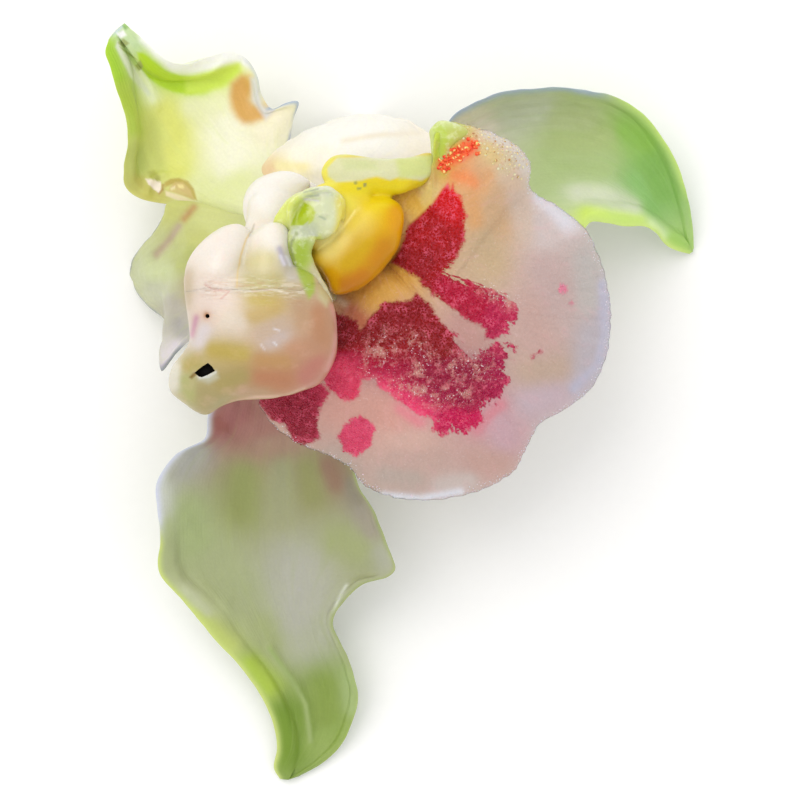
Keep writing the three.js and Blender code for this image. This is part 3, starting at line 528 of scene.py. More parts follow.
HEAD_STROKES = [
    ("bright crown", (250, 246, 238), 2, [(-14.6, 22), (-11, 23.8)]),
    ("cream crown's foot", (241, 234, 218), 1, [(-16.3, 20.7), (-15.2, 19.8)]),
    ("left lump", (246, 238, 228), 1.7, [(-19.2, 17.2), (-20.3, 15.2)]),
    ("lump's tan side", (204, 186, 156), 0.8, [(-23.5, 13.7), (-23.5, 11)]),
    ("lump's foot", (240, 222, 208), 1.3, [(-20.9, 12.8), (-19.6, 11.9)]),
    ("right lump", (251, 245, 234), 1.2, [(-14.3, 18.5), (-13.7, 17.6)]),
    ("olive lump", (222, 212, 158), 1, [(-15.9, 15.2), (-14.6, 15.4)]),
    ("olive foot", (208, 198, 142), 1, [(-16.3, 13), (-13.7, 13.2)]),
    ("greyed side", (206, 198, 186), 0.7, [(-12.1, 15), (-11.9, 13.5)]),
    ("lump's tan foot", (204, 188, 150), 0.8, [(-11.9, 12.3), (-11, 11.5)]),
    ("pale brow", (234, 216, 204), 1.3, [(-21.5, 11), (-19.6, 10.6)]),
    ("pale middle", (228, 214, 196), 1.2, [(-19, 9), (-17.6, 8.4)]),
    ("lilac cheek", (222, 212, 212), 0.8, [(-21.4, 7.7), (-22, 6.4)]),
    ("yellow brow", (206, 184, 100), 0.9, [(-15.9, 11), (-14.1, 10.6)]),
    ("ochre brow", (202, 174, 112), 0.8, [(-15.9, 9), (-13.7, 9.9)]),
    ("rosy middle", (204, 180, 158), 1.1, [(-15.2, 7.3), (-13, 8.4)]),
    ("lilac middle", (206, 188, 180), 0.9, [(-14.3, 6.2), (-12.8, 7.1)]),
    ("tan side", (198, 162, 128), 1, [(-11, 10.6), (-10.6, 8.6)]),
    ("orange side", (196, 144, 108), 1, [(-9, 9.5), (-8.6, 6.8)]),
    ("peach side", (200, 152, 120), 1.1, [(-11.5, 5.5), (-9.5, 5.5)]),
    ("ochre middle", (196, 152, 100), 1, [(-15.2, 4.4), (-12.7, 4.2)]),
    ("orange cheek", (194, 134, 98), 1.3, [(-15.2, 2.4), (-12.7, 2.2)]),
    ("rosy cheek", (200, 132, 116), 1, [(-10.4, 2.6), (-9, 4.2)]),
    ("mustard band", (194, 172, 86), 1, [(-20.5, 5.5), (-17.2, 5.1)]),
    ("olive brow of the slit", (184, 170, 96), 0.8, [(-22.5, 4.2), (-23.4, 3.7)]),
    ("olive jaw", (176, 160, 100), 1.2, [(-19.2, 1.8), (-17.4, 2.6)]),
    ("olive chin", (176, 162, 112), 1, [(-21.6, 0.7), (-20.1, -0.2)]),
    ("tan chin", (190, 156, 120), 1, [(-17, 0.9), (-15, 0.7)]),
    ("green beak", (184, 184, 122), 0.8, [(-23.6, 2.2), (-23.2, 0.7)]),
    ("cream beak", (226, 222, 206), 0.7, [(-24.7, 3.5), (-24.9, 1.8)]),
    ("pink margin", (220, 168, 156), 0.3, [(-7.5, 10.4), (-6.9, 8.3), (-7.2, 5.5), (-7.9, 3.3)]),
    ("lower margin", (224, 184, 158), 0.2,
     [(-20.7, -1.4), (-18.5, -0.2), (-15.9, 0.3), (-12.7, 0.4), (-10.5, 1.2)]),
    ("pink streak", (206, 158, 172), 0.4, [(-22.4, 9), (-22.9, 7.2)]),
    ("pore halo", (222, 186, 164), 0.6, [(-21.2, 9.3)]),
    ("pore ring", (170, 112, 60), 0.3, [(-21.2, 9.3)]),
    ("fold line", (236, 212, 158), 0.1,
     [(-16.3, 19), (-17, 17.6), (-17.5, 15.9), (-17.8, 14.1), (-17.9, 12.3)]),
    ("fold's top", (208, 202, 184), 0.1, [(-16.2, 19.5), (-16.6, 18.1)]),
    ("lavender shine", (200, 194, 208), 0.4, [(-13.2, 16.6), (-12.6, 15.2)]),
    ("lavender glint", (232, 228, 240), 0.2, [(-13.1, 15.8), (-12.7, 14.9)]),
    ("second lavender glint", (232, 228, 240), 0.2, [(-12.5, 15.8), (-12.1, 14.9)]),
    ("ochre streak", (208, 180, 116), 0.7, [(-16.3, 9.3), (-14.8, 9.7), (-13.5, 10.4)]),
    # Painted highlight, cream, along a long fold of the seam between the cap and the shoulders.
    ("painted highlight along a long fold", (244, 232, 210), 0.1, [(-18.1, 12), (-16.1, 11.9), (-14.1, 12.1), (-12.3, 11.7)]),
    ("pink fold", (226, 182, 168), 0.1, [(-19.6, 11.1), (-18.7, 11.9), (-20.5, 12.1), (-21.4, 12.7)]),
    ("first glint", (226, 218, 220), 0.1, [(-13.8, 7.8), (-13.2, 7.6)]),
    ("second glint", (230, 224, 228), 0.1, [(-13.8, 6.3), (-13.5, 6)]),
    ("third glint", (222, 208, 204), 0.1, [(-15.2, 6.1), (-14.8, 5.5)]),
]

KEEL_STROKES = [
    # Painted highlight, lemon-cream, on the upper left shoulder of the egg-shaped near keel.
    ("painted highlight on the egg's shoulder", (230, 208, 124), 1, [(-7.8, 16.7), (-6.5, 18)]),
    ("lemon side", (228, 204, 92), 0.9, [(-5.6, 19.4), (-4.7, 20.9)]),
    ("bright corner", (232, 190, 62), 0.7, [(-9.8, 16.2), (-9.3, 15.4)]),
    ("golden middle", (200, 162, 30), 1.3, [(-4.5, 17.2), (-5.6, 15.4)]),
    ("yellow top", (226, 200, 44), 1, [(-3.6, 21.6), (-1.7, 22.2)]),
    ("orange side", (222, 160, 8), 1, [(-0.4, 20.9), (-0.1, 19.1)]),
    ("amber side", (200, 136, 10), 1, [(-1.7, 16.9), (-2.7, 15.4)]),
    ("amber foot", (198, 126, 10), 1, [(-4.2, 13.8), (-6.1, 12.7)]),
    ("golden foot", (214, 160, 14), 0.8, [(-8, 13.8), (-7.3, 12.7)]),
    ("far keel's yellow end", (230, 220, 96), 0.8, [(-8.3, 25.4), (-7.8, 24.3)]),
    ("far keel's foot", (224, 206, 50), 0.8, [(-6.1, 23.4), (-3.1, 23.6), (0, 23.6)]),
    ("far keel's amber end", (218, 196, 48), 0.7, [(2.2, 24), (3.6, 24.7)]),
    ("saddle", (230, 216, 86), 0.8, [(-6.1, 22.2), (-5.3, 21.4)]),
    ("saddle's pale end", (238, 228, 150), 0.9, [(-8, 17.8), (-6.9, 19.1)]),
    ("lit edge of the egg", (244, 228, 140), 0.1, [(-9.1, 16.7), (-7.6, 17.9), (-6.1, 19.4), (-5, 21)]),
    ("lime edge of the far keel", (216, 216, 104), 0.1,
     [(-8.5, 25.6), (-7.5, 27), (-6.1, 27.3), (-2.2, 27), (1.1, 27.1)]),
]

NEAR_LOBE_STROKES = [
    ("lime left", (224, 232, 122), 0.8, [(-13.5, 20.3), (-12.3, 21.4), (-11.5, 22.3)]),
    ("pale crest", (226, 232, 180), 0.7, [(-11.9, 22.7), (-10.4, 22.9)]),
    ("clear band", (224, 230, 192), 0.9, [(-8.2, 21.8), (-7.7, 19.6)]),
    ("yellow rim", (236, 224, 110), 0.6, [(-6.5, 22), (-6.4, 20.7), (-6.8, 19)]),
    ("pale top", (230, 234, 210), 0.6, [(-9, 23.2), (-7.9, 22.9)]),
    ("grey foot", (204, 211, 180), 0.6, [(-11, 18.6), (-9.7, 18.9)]),
    ("green wall", (172, 196, 66), 0.7, [(-11, 17), (-11, 15.2)]),
    ("lime wall", (178, 196, 70), 0.6, [(-10.6, 13.7), (-10, 12.1)]),
    ("yellow wall", (206, 214, 110), 0.4, [(-9.7, 18.1), (-9, 17.9)]),
    ("clear margin", (212, 204, 164), 0.6, [(-9.4, 14.3), (-8.6, 12.8), (-7.8, 11.2)]),
    ("wall's beige foot", (200, 190, 130), 0.5, [(-9.6, 10.8), (-9, 10.4)]),
    ("lavender wrinkle", (226, 222, 230), 0.1, [(-10.6, 22.2), (-9, 22)]),
    ("grey wrinkle", (190, 196, 170), 0.1, [(-10.6, 22.9), (-9, 23.3)]),
    ("second grey wrinkle", (196, 204, 172), 0.1, [(-10.4, 22.5), (-9, 22.6)]),
    ("small arc", (186, 200, 168), 0.1, [(-8.9, 20.3), (-8.3, 20)]),
]

LIP_STROKES = [
    ("gold floor", (214, 164, 78), 1.4, [(-5.4, 14.1), (-3.1, 12.1), (-0.4, 13.9)]),
    ("gold corner", (222, 172, 76), 1, [(0.4, 15.4), (1.3, 16.1)]),
    ("yellow floor", (230, 190, 84), 1, [(0.4, 22.8), (2.2, 21.7)]),
    ("cream streak", (228, 208, 136), 0.8, [(3.1, 23.2), (2.7, 21.9)]),
    ("white foot", (226, 200, 170), 0.4, [(-7.1, 11.5), (-6.2, 10.8)]),
    ("red-brown notch", (196, 120, 90), 0.6, [(-5.4, 9.9), (-4.3, 8.7)]),
    ("peach", (218, 166, 114), 1, [(8, 22.8), (8.5, 19.9)]),
    ("tan", (206, 172, 134), 1.6, [(10.3, 22.9), (11.2, 19.6)]),
    ("greenish tan", (199, 174, 140), 1.7, [(9.6, 17.9), (10.1, 15.5)]),
    ("rosy cream", (208, 188, 172), 1.5, [(13.5, 22.5), (14.1, 19.7)]),
    ("rosy grey", (208, 194, 192), 1.5, [(15.8, 20.1), (16.4, 18.1)]),
    ("lilac white", (222, 218, 226), 1, [(15.8, 22.8), (18.8, 20.2)]),
    ("pink heart of the flank", (197, 172, 168), 2, [(16.3, 14.9), (18.1, 11.3)]),
    ("grey side", (190, 184, 180), 1.5, [(21.4, 15.7), (21.4, 11.4)]),
    ("rosy side", (200, 168, 160), 1.7, [(14.6, 10.1), (15.5, 6.2)]),
    ("grey flank", (188, 180, 186), 1.4, [(21.9, 7.4), (21.2, 4)]),
    ("lilac margin", (188, 186, 204), 0.7, [(23.1, 13.1), (23.4, 8), (22.6, 4.3), (19.9, 1.4)]),
    ("beige flank", (195, 170, 152), 1.6, [(14.7, 3.4), (17.7, 3.6)]),
    ("mauve flank", (199, 178, 186), 1.5, [(14.7, -0.2), (17.7, 0.5)]),
    ("pink foot of the flank", (201, 166, 174), 1.5, [(11.3, -2.8), (11.9, -4.5)]),
    ("low beige", (198, 162, 152), 1.5, [(11.4, -7.1), (8.9, -7)]),
    ("rosy island", (212, 162, 150), 1.6, [(-6.2, -0.6), (-2.2, -1.3), (-0.6, -2.8)]),
    ("pinkish beige", (211, 176, 164), 1.5, [(-0.6, -4.5), (2.3, -4.5)]),
    ("beige", (197, 168, 158), 1.4, [(3.4, -7), (-0.6, -6.6)]),
    ("shaded corner", (186, 166, 156), 1, [(-7.4, -6.6), (-5.5, -8)]),
    ("grey foot", (186, 170, 160), 1, [(-1.7, -8.4), (1.7, -8.9)]),
    ("pale foot", (202, 188, 182), 0.8, [(4.6, -9.6), (8, -9.1)]),
    ("white margin", (224, 222, 230), 0.5, [(-1.8, -10.9), (2.3, -11.3), (6.9, -10.5)]),
    ("pink edge of the stain", (224, 140, 148), 0.7, [(0, -1.1), (2.2, -2.5)]),
    ("rosy edge of the stain", (212, 140, 150), 0.7, [(8.8, -3.2), (11.3, -0.6)]),
    ("mauve patch", (192, 150, 142), 0.9, [(6.9, 8.4), (8.1, 6.7)]),
    ("mauve middle", (172, 116, 124), 1.6, [(-1.7, 4.7), (2.8, 1.3), (6.7, 3.1)]),
    ("yellow-green lobe", (202, 206, 110), 0.7, [(5.6, 30.5), (6.7, 30.3)]),
    ("lime lobe", (192, 210, 80), 0.8, [(4.2, 29.6), (4.2, 27.2)]),
    ("olive lobe", (206, 190, 86), 0.7, [(5.1, 25.4), (5.8, 28.3)]),
    ("orange lobe", (238, 130, 80), 0.8, [(6, 27), (7.4, 27.9)]),
    ("salmon fold", (238, 152, 98), 0.8, [(5.8, 25.2), (7.4, 24.8), (8.3, 24.1)]),
    ("peach fold", (222, 172, 124), 0.9, [(9.8, 25), (9.4, 23.4)]),
    ("yellow lobe", (222, 198, 142), 0.9, [(9.6, 27.9), (10.5, 27)]),
    ("cream lobe", (216, 200, 166), 1, [(12.1, 26.6), (11.7, 25.5)]),
    ("pale lobe margin", (214, 206, 196), 0.7, [(10, 29.7), (12.5, 28.4), (13.9, 25.8)]),
    ("fold foot", (215, 190, 166), 0.9, [(12.9, 24.2), (11.7, 24.8)]),
]

STAIN_STROKES = [
    ("pink mark", (232, 150, 172), 1.2, [(18.4, 13.1), (18.5, 12.2)]),
    ("second pink mark", (214, 134, 152), 1, [(19.5, 10.9), (19.7, 10.4)]),
    ("scarlet arm", (220, 50, 48), 1.1, [(5.4, 23.2), (6.1, 21.2)]),
    ("orange tip of the arm", (234, 78, 60), 0.7, [(6.1, 23.4), (6.5, 22.5)]),
    ("red arm", (182, 36, 40), 1.4, [(3.1, 18.1), (4.5, 18.7)]),
    ("dark foot of the arm", (162, 32, 38), 1.1, [(1.1, 15.4), (2.8, 15.9)]),
    ("rose band", (188, 62, 82), 1.2, [(5, 12.5), (8.9, 10.5)]),
    ("pink end", (194, 70, 98), 1.1, [(10.7, 9.8), (12.1, 8.7)]),
    ("band's lower end", (186, 70, 96), 0.9, [(11, 7.2), (11.4, 6.1)]),
    ("magenta rays", (178, 64, 94), 1.1, [(11.2, 3.8), (10.8, 1.8)]),
    ("plum heart", (160, 66, 84), 1.6, [(4.5, 3.1), (7.4, 3.6)]),
    ("plum foot", (168, 62, 88), 1, [(5.6, 0.9), (7.9, -0.4)]),
    ("pink fringe", (240, 88, 126), 0.9, [(-1.7, 0.9), (0.6, -0.2), (2.8, -1.6)]),
    ("crimson corner", (212, 62, 102), 0.9, [(5.8, -1.8), (8.6, -2)]),
    ("bright pink", (238, 92, 120), 1.1, [(-6.2, 3.6), (-5.4, 1.3)]),
    ("dark left", (150, 36, 44), 1, [(-6.5, 8.8), (-6.5, 6.7)]),
    ("maroon heart", (148, 42, 44), 1.8, [(-3.1, 8.4), (-0.6, 9.2), (2, 10.7)]),
    ("dark right heart", (148, 48, 60), 1.2, [(4, 7.1), (4.7, 5.6)]),
    ("dusty corner", (158, 68, 78), 1.6, [(-13.4, -0.7), (-11.1, -2.7)]),
    ("pink spot", (230, 96, 126), 1.2, [(-5.1, -3.6), (-4.5, -4.5)]),
]

DORSAL_SEPAL_PATCHES = [
    # The rolled upper hem: lime at its foot, which is its greener underside partly in painted shade, and a
    # painted highlight, near white, on its lit top.
    ("lime foot of the hem", (190, 222, 62), 0.35,
     [(-30.8, 40.7), (-30.3, 38.8), (-29.6, 37.9), (-28.3, 37), (-26.7, 36.3), (-24.6, 36),
      (-23.9, 36.2), (-23.9, 37.9), (-25.7, 38), (-27.5, 38.6), (-29, 39.8), (-30.1, 40.6)]),
    ("paler foot of the hem", (212, 234, 98), 0.94,
     [(-25.3, 36), (-24.6, 36), (-22.8, 36.2), (-21.1, 36.7), (-20.1, 37.2), (-18.7, 38.4),
      (-18.7, 39.5), (-20.5, 39.1), (-22.8, 38.4), (-25.3, 37.7)]),
    ("painted highlight on the hem's top", (250, 252, 246), 1.17,
     [(-30.4, 41.9), (-28.7, 40), (-26.7, 38.6), (-24.6, 38.4), (-22.2, 38.8), (-19.2, 40),
      (-17.5, 39.1), (-16.1, 37.4), (-16.1, 42.1), (-21.6, 42.1), (-26.9, 40.9), (-30.4, 44.5)]),
    # Brown inside the curve of the upper hem.
    ("brown patch", (214, 168, 96), 1.29,
     [(-19.8, 37.2), (-18.6, 38.1), (-17.9, 37.9), (-17.9, 36.3), (-18, 35.1), (-17.4, 34.4),
      (-16.1, 33.9), (-15.9, 33.2), (-17.3, 32.5), (-18.4, 32.5), (-19.2, 33.2), (-19.8, 34.3),
      (-20, 35.7)]),
    ("grey notch side", (214, 212, 214), 0.82,
     [(-16.8, 37.9), (-16.1, 34.6), (-15.4, 33.9), (-14.7, 33.9), (-15.7, 32.8), (-17.3, 35.1),
      (-17.5, 37.7)]),
    # Along the crumpled seam near the tip: painted highlights, pale, on its ridge, and painted shade,
    # olive, in the hollows beside it.
    ("painted glints on the seam ridge", (222, 228, 206), 0.47,
     [(-33, 41.9), (-31.8, 40.2), (-30.7, 38.1), (-29.2, 36), (-29.7, 35.8), (-31.6, 37.9),
      (-33.2, 41.2)]),
    ("painted shade in the hollow by the seam", (176, 188, 126), 0.23,
     [(-33, 41.7), (-32.3, 42.2), (-31.6, 41.7), (-32.3, 41.2)]),
    ("second hollow", (170, 184, 104), 0.23,
     [(-32.8, 41.3), (-31.6, 40.6), (-30.7, 39.8), (-31.1, 40), (-32.3, 40.8)]),
    ("third hollow", (174, 186, 106), 0.23, [(-31.1, 39.3), (-30.4, 39.8), (-30.1, 39.1), (-30.7, 38.7)]),
    ("white chip", (250, 252, 250), 0.35, [(-33.1, 42.7), (-32.3, 43.2), (-31.9, 42.6), (-32.6, 42.2)]),
    ("lilac tip", (196, 212, 228), 0.47, [(-33.5, 42.9), (-32.5, 43.9), (-32.1, 43.8), (-33, 42.9)]),
    (
        "green tip end", (150, 190, 120), 0.35,
        [(-32.5, 43.8), (-31.6, 44.1), (-31.2, 43.6), (-32.1, 43.2)],
    ),
    ("olive brow", (178, 180, 96), 0.47,
     [(-29.7, 26.9), (-29, 27), (-28.3, 26.4), (-28.1, 25.5), (-29.2, 25.7)]),
    ("lit crescent", (240, 226, 214), 0.18,
     [(-30, 26.1), (-29, 25.9), (-28.1, 25.6), (-28.1, 24.8), (-28.3, 24.3), (-29, 24.8),
      (-29.6, 25.4)]),
    ("crescent's dark side", (176, 148, 84), 0.18,
     [(-28, 25.5), (-27.7, 25.3), (-27.8, 24.6), (-28.3, 24.1), (-28.4, 24.3), (-28.1, 24.7)]),
    ("bead's brown rim", (190, 172, 92), 0.29,
     [(-27.7, 25.6), (-27, 26), (-26, 26.1), (-24.9, 25.7), (-24.2, 24.8), (-23.8, 23.4),
      (-24.2, 23.6), (-24.9, 24.6), (-25.7, 25.4), (-26.9, 25.3), (-27.7, 24.9)]),
    ("bead's dome", (206, 184, 120), 0.35,
     [(-27.1, 25), (-26.4, 25.6), (-25.5, 25.6), (-24.6, 24.6), (-24.1, 23.4), (-25.3, 23.9),
      (-27.1, 24.6)]),
    ("bead's glint", (232, 216, 152), 0.23, [(-26.2, 25.4), (-25.5, 25.3), (-25.3, 24.8), (-26, 24.9)]),
    ("second glint", (230, 214, 170), 0.23, [(-27, 24.9), (-26.4, 25.2), (-26.4, 24.8), (-26.9, 24.6)]),
    ("bead's white foot", (228, 214, 176), 0.29,
     [(-27.6, 24.6), (-26.7, 24.3), (-25.5, 23.9), (-24.3, 23.3), (-23.6, 22.5), (-24.6, 22.8),
      (-26.2, 23.5), (-27.5, 24)]),
    ("brown shade below", (202, 170, 98), 1.05,
     [(-25.5, 22.5), (-23.9, 22.7), (-23.9, 21.1), (-24.8, 20.8)]),
]

KEEL_PATCHES = [
    ("far keel's pale face", (212, 212, 170), 0.39,
     [(-8.1, 25.8), (-7.1, 26.9), (-2.2, 27.1), (4, 27.1), (3.8, 25.3), (2.4, 24.4), (0.9, 24.6),
      (0, 24.8), (-1.1, 24.4), (-2.6, 24.8), (-3.6, 24.6), (-4.2, 24.4), (-5.2, 24.3), (-7.1, 24.2),
      (-8, 24.9)]),
    ("face's green end", (204, 210, 140), 0.89, [(-0.6, 27.1), (3.8, 27.3), (3.6, 24.9), (0, 24.6)]),
    (
        "face's green cloud", (204, 208, 156), 1.00,
        [(-6.7, 26.9), (-2.8, 26.6), (-2.4, 25.5), (-6.1, 25.5)],
    ),
    ("dark speck", (160, 158, 80), 0.18, [(-5.2, 24.2), (-4.8, 24.3), (-4.7, 24), (-5, 23.9)]),
    ("second speck", (160, 158, 80), 0.18, [(-4.8, 23.6), (-4.3, 23.6), (-4.3, 23.4), (-4.7, 23.3)]),
    ("third speck", (160, 156, 90), 0.11, [(-4.1, 24.1), (-3.7, 24.1), (-3.7, 23.8), (-4, 23.6)]),
]

LOBE_PATCHES = [
    ("lime hollow", (186, 206, 50), 0.22,
     [(-10.6, 21.9), (-11.5, 20.7), (-12.1, 19.3), (-10.7, 19.3), (-9.5, 20.3), (-9.6, 21.3)]),
    ("lime hollow's far side", (200, 214, 90), 0.33,
     [(-10.1, 21.7), (-9.3, 20.7), (-9.6, 19.8), (-10.1, 19.4)]),
    ("grey back", (204, 211, 182), 0.33,
     [(-11.9, 18.9), (-10.8, 19.2), (-9.3, 18.7), (-9, 18.1), (-11, 18), (-12.1, 18.3)]),
    ("dark left margin", (150, 164, 96), 0.33,
     [(-11.5, 18.6), (-12.1, 17.6), (-12.2, 16.8), (-11.8, 15.4), (-11.4, 13.8), (-10.7, 12.1),
      (-10.5, 12.2), (-11.1, 13.9), (-11.6, 15.5), (-11.9, 16.8), (-11.8, 17.5), (-11.2, 18.4)]),
]

HEAD_PATCHES = [
    ("green of the lobe's back", (176, 196, 84), 0.66,
     [(-11.7, 15.5), (-11.1, 13.5), (-10.5, 12.2), (-10, 11.1), (-9.4, 11.8), (-9.3, 12.8),
      (-9.5, 14), (-9.7, 15.8)]),
    ("clear margin of the lobe's back", (208, 198, 152), 0.88,
     [(-9.5, 15.1), (-9.1, 12.6), (-9, 11.2), (-8.1, 10.3), (-7.4, 11.4), (-8.5, 13.1), (-9, 14.5)]),
    ("slit's sill", (196, 192, 166), 0.77,
     [(-22.6, 3), (-21.5, 2.5), (-20.1, 3.2), (-19.9, 2.4), (-21, 1.8), (-22.2, 2.2)]),
    ("slit's lit rim", (216, 216, 206), 0.22,
     [(-22.2, 2.6), (-21.1, 2.8), (-20.1, 3.2), (-20.1, 3), (-21, 2.4), (-22.1, 2.3)]),
    # Painted shade, dark olive, in the corner of the slit.
    (
        "slit's dark corner", (140, 118, 60), 0.22,
        [(-23.2, 2.5), (-22.6, 3.1), (-22.3, 2.8), (-22.9, 2.3)],
    ),
]

FAR_LOBE_HEM_STROKES = [
    ("pale crest", (210, 222, 150), 0.7, [(6.2, 30.8), (4.8, 30.9)]),
    ("lime side", (186, 208, 66), 1.1, [(4.5, 29.6), (4.4, 26.4)]),
    ("pale outer side", (214, 226, 150), 0.6, [(3.6, 29.6), (3.6, 26.6)]),
    ("green foot", (206, 196, 84), 0.9, [(4.6, 26.4), (4, 26.6)]),
    ("olive side", (198, 202, 104), 1, [(6.2, 29.6), (7.4, 29.7)]),
    ("orange side", (214, 170, 84), 0.7, [(5.5, 27.6), (5.1, 26.2)]),
]

# Thin margins: side, where it starts and ends along the edge, width and colour.
DORSAL_SEPAL_MARGINS = [
    ("right", 0.02, 0.28, 0.4, (176, 182, 196)), ("right", 0.26, 0.45, 0.35, (150, 166, 192)),
    ("right", 0.45, 0.62, 0.3, (196, 200, 208)),
]
PETAL_LEFT_MARGINS = [
    ("left", 0.45, 1, 0.35, (138, 144, 148)), ("right", 0.58, 1.1, 0.3, (138, 144, 148)),
]
PETAL_RIGHT_MARGINS = [
    ("left", 0.3, 1.1, 0.25, (198, 196, 212)), ("right", 0.3, 1.1, 0.25, (198, 196, 212)),
]
LATERAL_SEPAL_RIGHT_MARGINS = [
    ("left", 0.1, 0.62, 0.7, (160, 176, 206)), ("left", 0.6, 0.9, 0.35, (184, 214, 120)),
    ("right", 0.5, 1.1, 0.35, (196, 222, 120)),
]
LATERAL_SEPAL_LEFT_MARGINS = [
    ("right", 0.2, 0.55, 0.5, (200, 205, 225)), ("right", 0.5, 1.1, 0.35, (190, 204, 120)),
    ("left", 0.3, 0.8, 0.3, (150, 160, 110)),
]

# Each sepal and petal: outline, hems, strokes, patches, margins and swellings.
TEPALS = {
    "dorsal_sepal": (
        DORSAL_SEPAL, DORSAL_HEMS, DORSAL_SEPAL_STROKES, DORSAL_SEPAL_PATCHES, DORSAL_SEPAL_MARGINS,
        DORSAL_SWELLS,
    ),
    "petal_left": (
        PETAL_LEFT, PETAL_LEFT_HEMS, PETAL_LEFT_STROKES, [], PETAL_LEFT_MARGINS, PETAL_LEFT_SWELLS,
    ),
    "petal_right": (
        PETAL_RIGHT, PETAL_RIGHT_HEMS, PETAL_RIGHT_STROKES, [], PETAL_RIGHT_MARGINS, PETAL_RIGHT_SWELLS,
    ),
    "lateral_sepal_right": (
        LATERAL_SEPAL_RIGHT, RIGHT_SEPAL_HEMS, LATERAL_SEPAL_RIGHT_STROKES, [],
        LATERAL_SEPAL_RIGHT_MARGINS, RIGHT_SEPAL_SWELLS,
    ),
    "lateral_sepal_left": (
        LATERAL_SEPAL_LEFT, LEFT_SEPAL_HEMS, LATERAL_SEPAL_LEFT_STROKES, [], LATERAL_SEPAL_LEFT_MARGINS,
        LEFT_SEPAL_SWELLS,
    ),
}

# The second colour that each blade is faintly streaked with, and the colour its back leans to.
FLUSHES = {
    "dorsal_sepal": (206, 218, 130), "petal_left": (176, 186, 110), "petal_right": (248, 238, 206),
    "lateral_sepal_right": (150, 186, 104), "lateral_sepal_left": (154, 166, 100),
}
BACKS = {
    "dorsal_sepal": (190, 204, 110), "petal_left": (178, 190, 120), "petal_right": (226, 228, 180),
    "lateral_sepal_right": (150, 184, 100), "lateral_sepal_left": (140, 164, 90),
}


def tone(shades):
    """A colour as read off a screen, turned into the light it stands for."""
    shades = np.array(shades, dtype=float) / 255
    return np.where(shades <= 0.04045, shades / 12.92, ((shades + 0.055) / 1.055) ** 2.4)


def ease(values):
    """A smooth step from 0 to 1."""
    values = np.clip(values, 0, 1)
    return values * values * (3 - 2 * values)


def stretch_between(before, start, end, after, shares):
    """One stretch of a centripetal Catmull-Rom curve."""
    knots = [0.0]
    for here, there in ((before, start), (start, end), (end, after)):
        knots.append(knots[-1] + math.sqrt(np.linalg.norm(there - here)))
    t = (knots[1] + (knots[2] - knots[1]) * shares)[:, None]

    def between(first, second, low, high):
        return ((high - t) * first + (t - low) * second) / (high - low)

    one = between(before, start, knots[0], knots[1])
    two = between(start, end, knots[1], knots[2])
    three = between(end, after, knots[2], knots[3])
    early = between(one, two, knots[0], knots[2])
    late = between(two, three, knots[1], knots[3])
    return between(early, late, knots[1], knots[2])


def curve_through(points, steps, closed=False):
    """Points at even steps along a smooth curve through the given ones."""
    points = np.array(points, dtype=float)
    if closed:
        chain = np.vstack([points[-1], points, points[0], points[1]])
    else:
        chain = np.vstack([2 * points[0] - points[1], points, 2 * points[-1] - points[-2]])
    shares = np.linspace(0, 1, 24, endpoint=False)
    stretches = [stretch_between(*chain[i : i + 4], shares) for i in range(len(chain) - 3)]
    dense = np.vstack(stretches + [chain[-2]])
    lengths = np.concatenate([[0], np.cumsum(np.linalg.norm(np.diff(dense, axis=0), axis=1))])
    even = np.linspace(0, lengths[-1], steps + 1)
    if closed:
        even = even[:-1]
    return np.column_stack([np.interp(even, lengths, axis) for axis in dense.T])


def distance_to_path(points, path):
    """How far each point lies from a path, seen from above."""
    path = np.array(path, dtype=float)[:, :2]
    if len(path) == 1:
        return np.linalg.norm(points[:, :2] - path[0], axis=1)
    nearest = np.full(len(points), np.inf)
    for start, end in zip(path, path[1:]):
        along = end - start
        share = np.clip((points[:, :2] - start) @ along / (along @ along), 0, 1)
        away = points[:, :2] - start - share[:, None] * along
        nearest = np.minimum(nearest, np.hypot(away[:, 0], away[:, 1]))
    return nearest


def depth_inside(points, outline):
    """Distance to an outline seen from above, positive inside it."""
    outline = np.array(outline, dtype=float)[:, :2]
    loop = np.vstack([outline, outline[:1]])
    inside = np.zeros(len(points), dtype=bool)
    for (x, y), (next_x, next_y) in zip(loop, loop[1:]):
        if y == next_y:
            continue
        spans = (y > points[:, 1]) != (next_y > points[:, 1])
        crossing = x + (points[:, 1] - y) * (next_x - x) / (next_y - y)
        inside ^= spans & (points[:, 0] < crossing)
    distance = distance_to_path(points, loop)
    return np.where(inside, distance, -distance)


def ripple(points, size, seed):
    """A soft random wave from about -1 to 1, with its humps about this size apart."""
    chance = np.random.default_rng(seed)
    waves = 14
    total = np.zeros(len(points))
    for _ in range(waves):
        heading = chance.normal(size=points.shape[1])
        heading *= math.tau / (size * chance.uniform(0.75, 1.5) * np.linalg.norm(heading))
        total += np.sin(points @ heading + chance.uniform(0, math.tau))
    return total / math.sqrt(waves)


def nearness(points, radius, path):
    """1 on a path, fading to 0 around it."""
    return np.exp(-((distance_to_path(points, path) / radius) ** 2))


def painted(points, ground, strokes, patches=()):
    """Colours of points: washes that flow into each other, fine strokes, then crisp patches."""
    total = np.full(len(points), GROUND_WEIGHT)
    colours = total[:, None] * tone(GROUNDS[ground])
    for _, shades, radius, path in strokes:
        if radius > FINE_STROKE:
            weight = (0.25 + (distance_to_path(points, path) / radius) ** 2) ** -1.4
            total += weight
            colours += weight[:, None] * tone(shades)
    colours /= total[:, None]
    for _, shades, radius, path in strokes:
        if radius <= FINE_STROKE:
            colours = covered(colours, shades, nearness(points, radius, path))
    for _, shades, softness, outline in patches:
        colours = covered(colours, shades, ease(depth_inside(points, outline) / softness + 0.5))
    gain, veil = LIGHTS[ground]
    return np.clip((colours - veil) / gain, DARKEST, LIGHTEST)


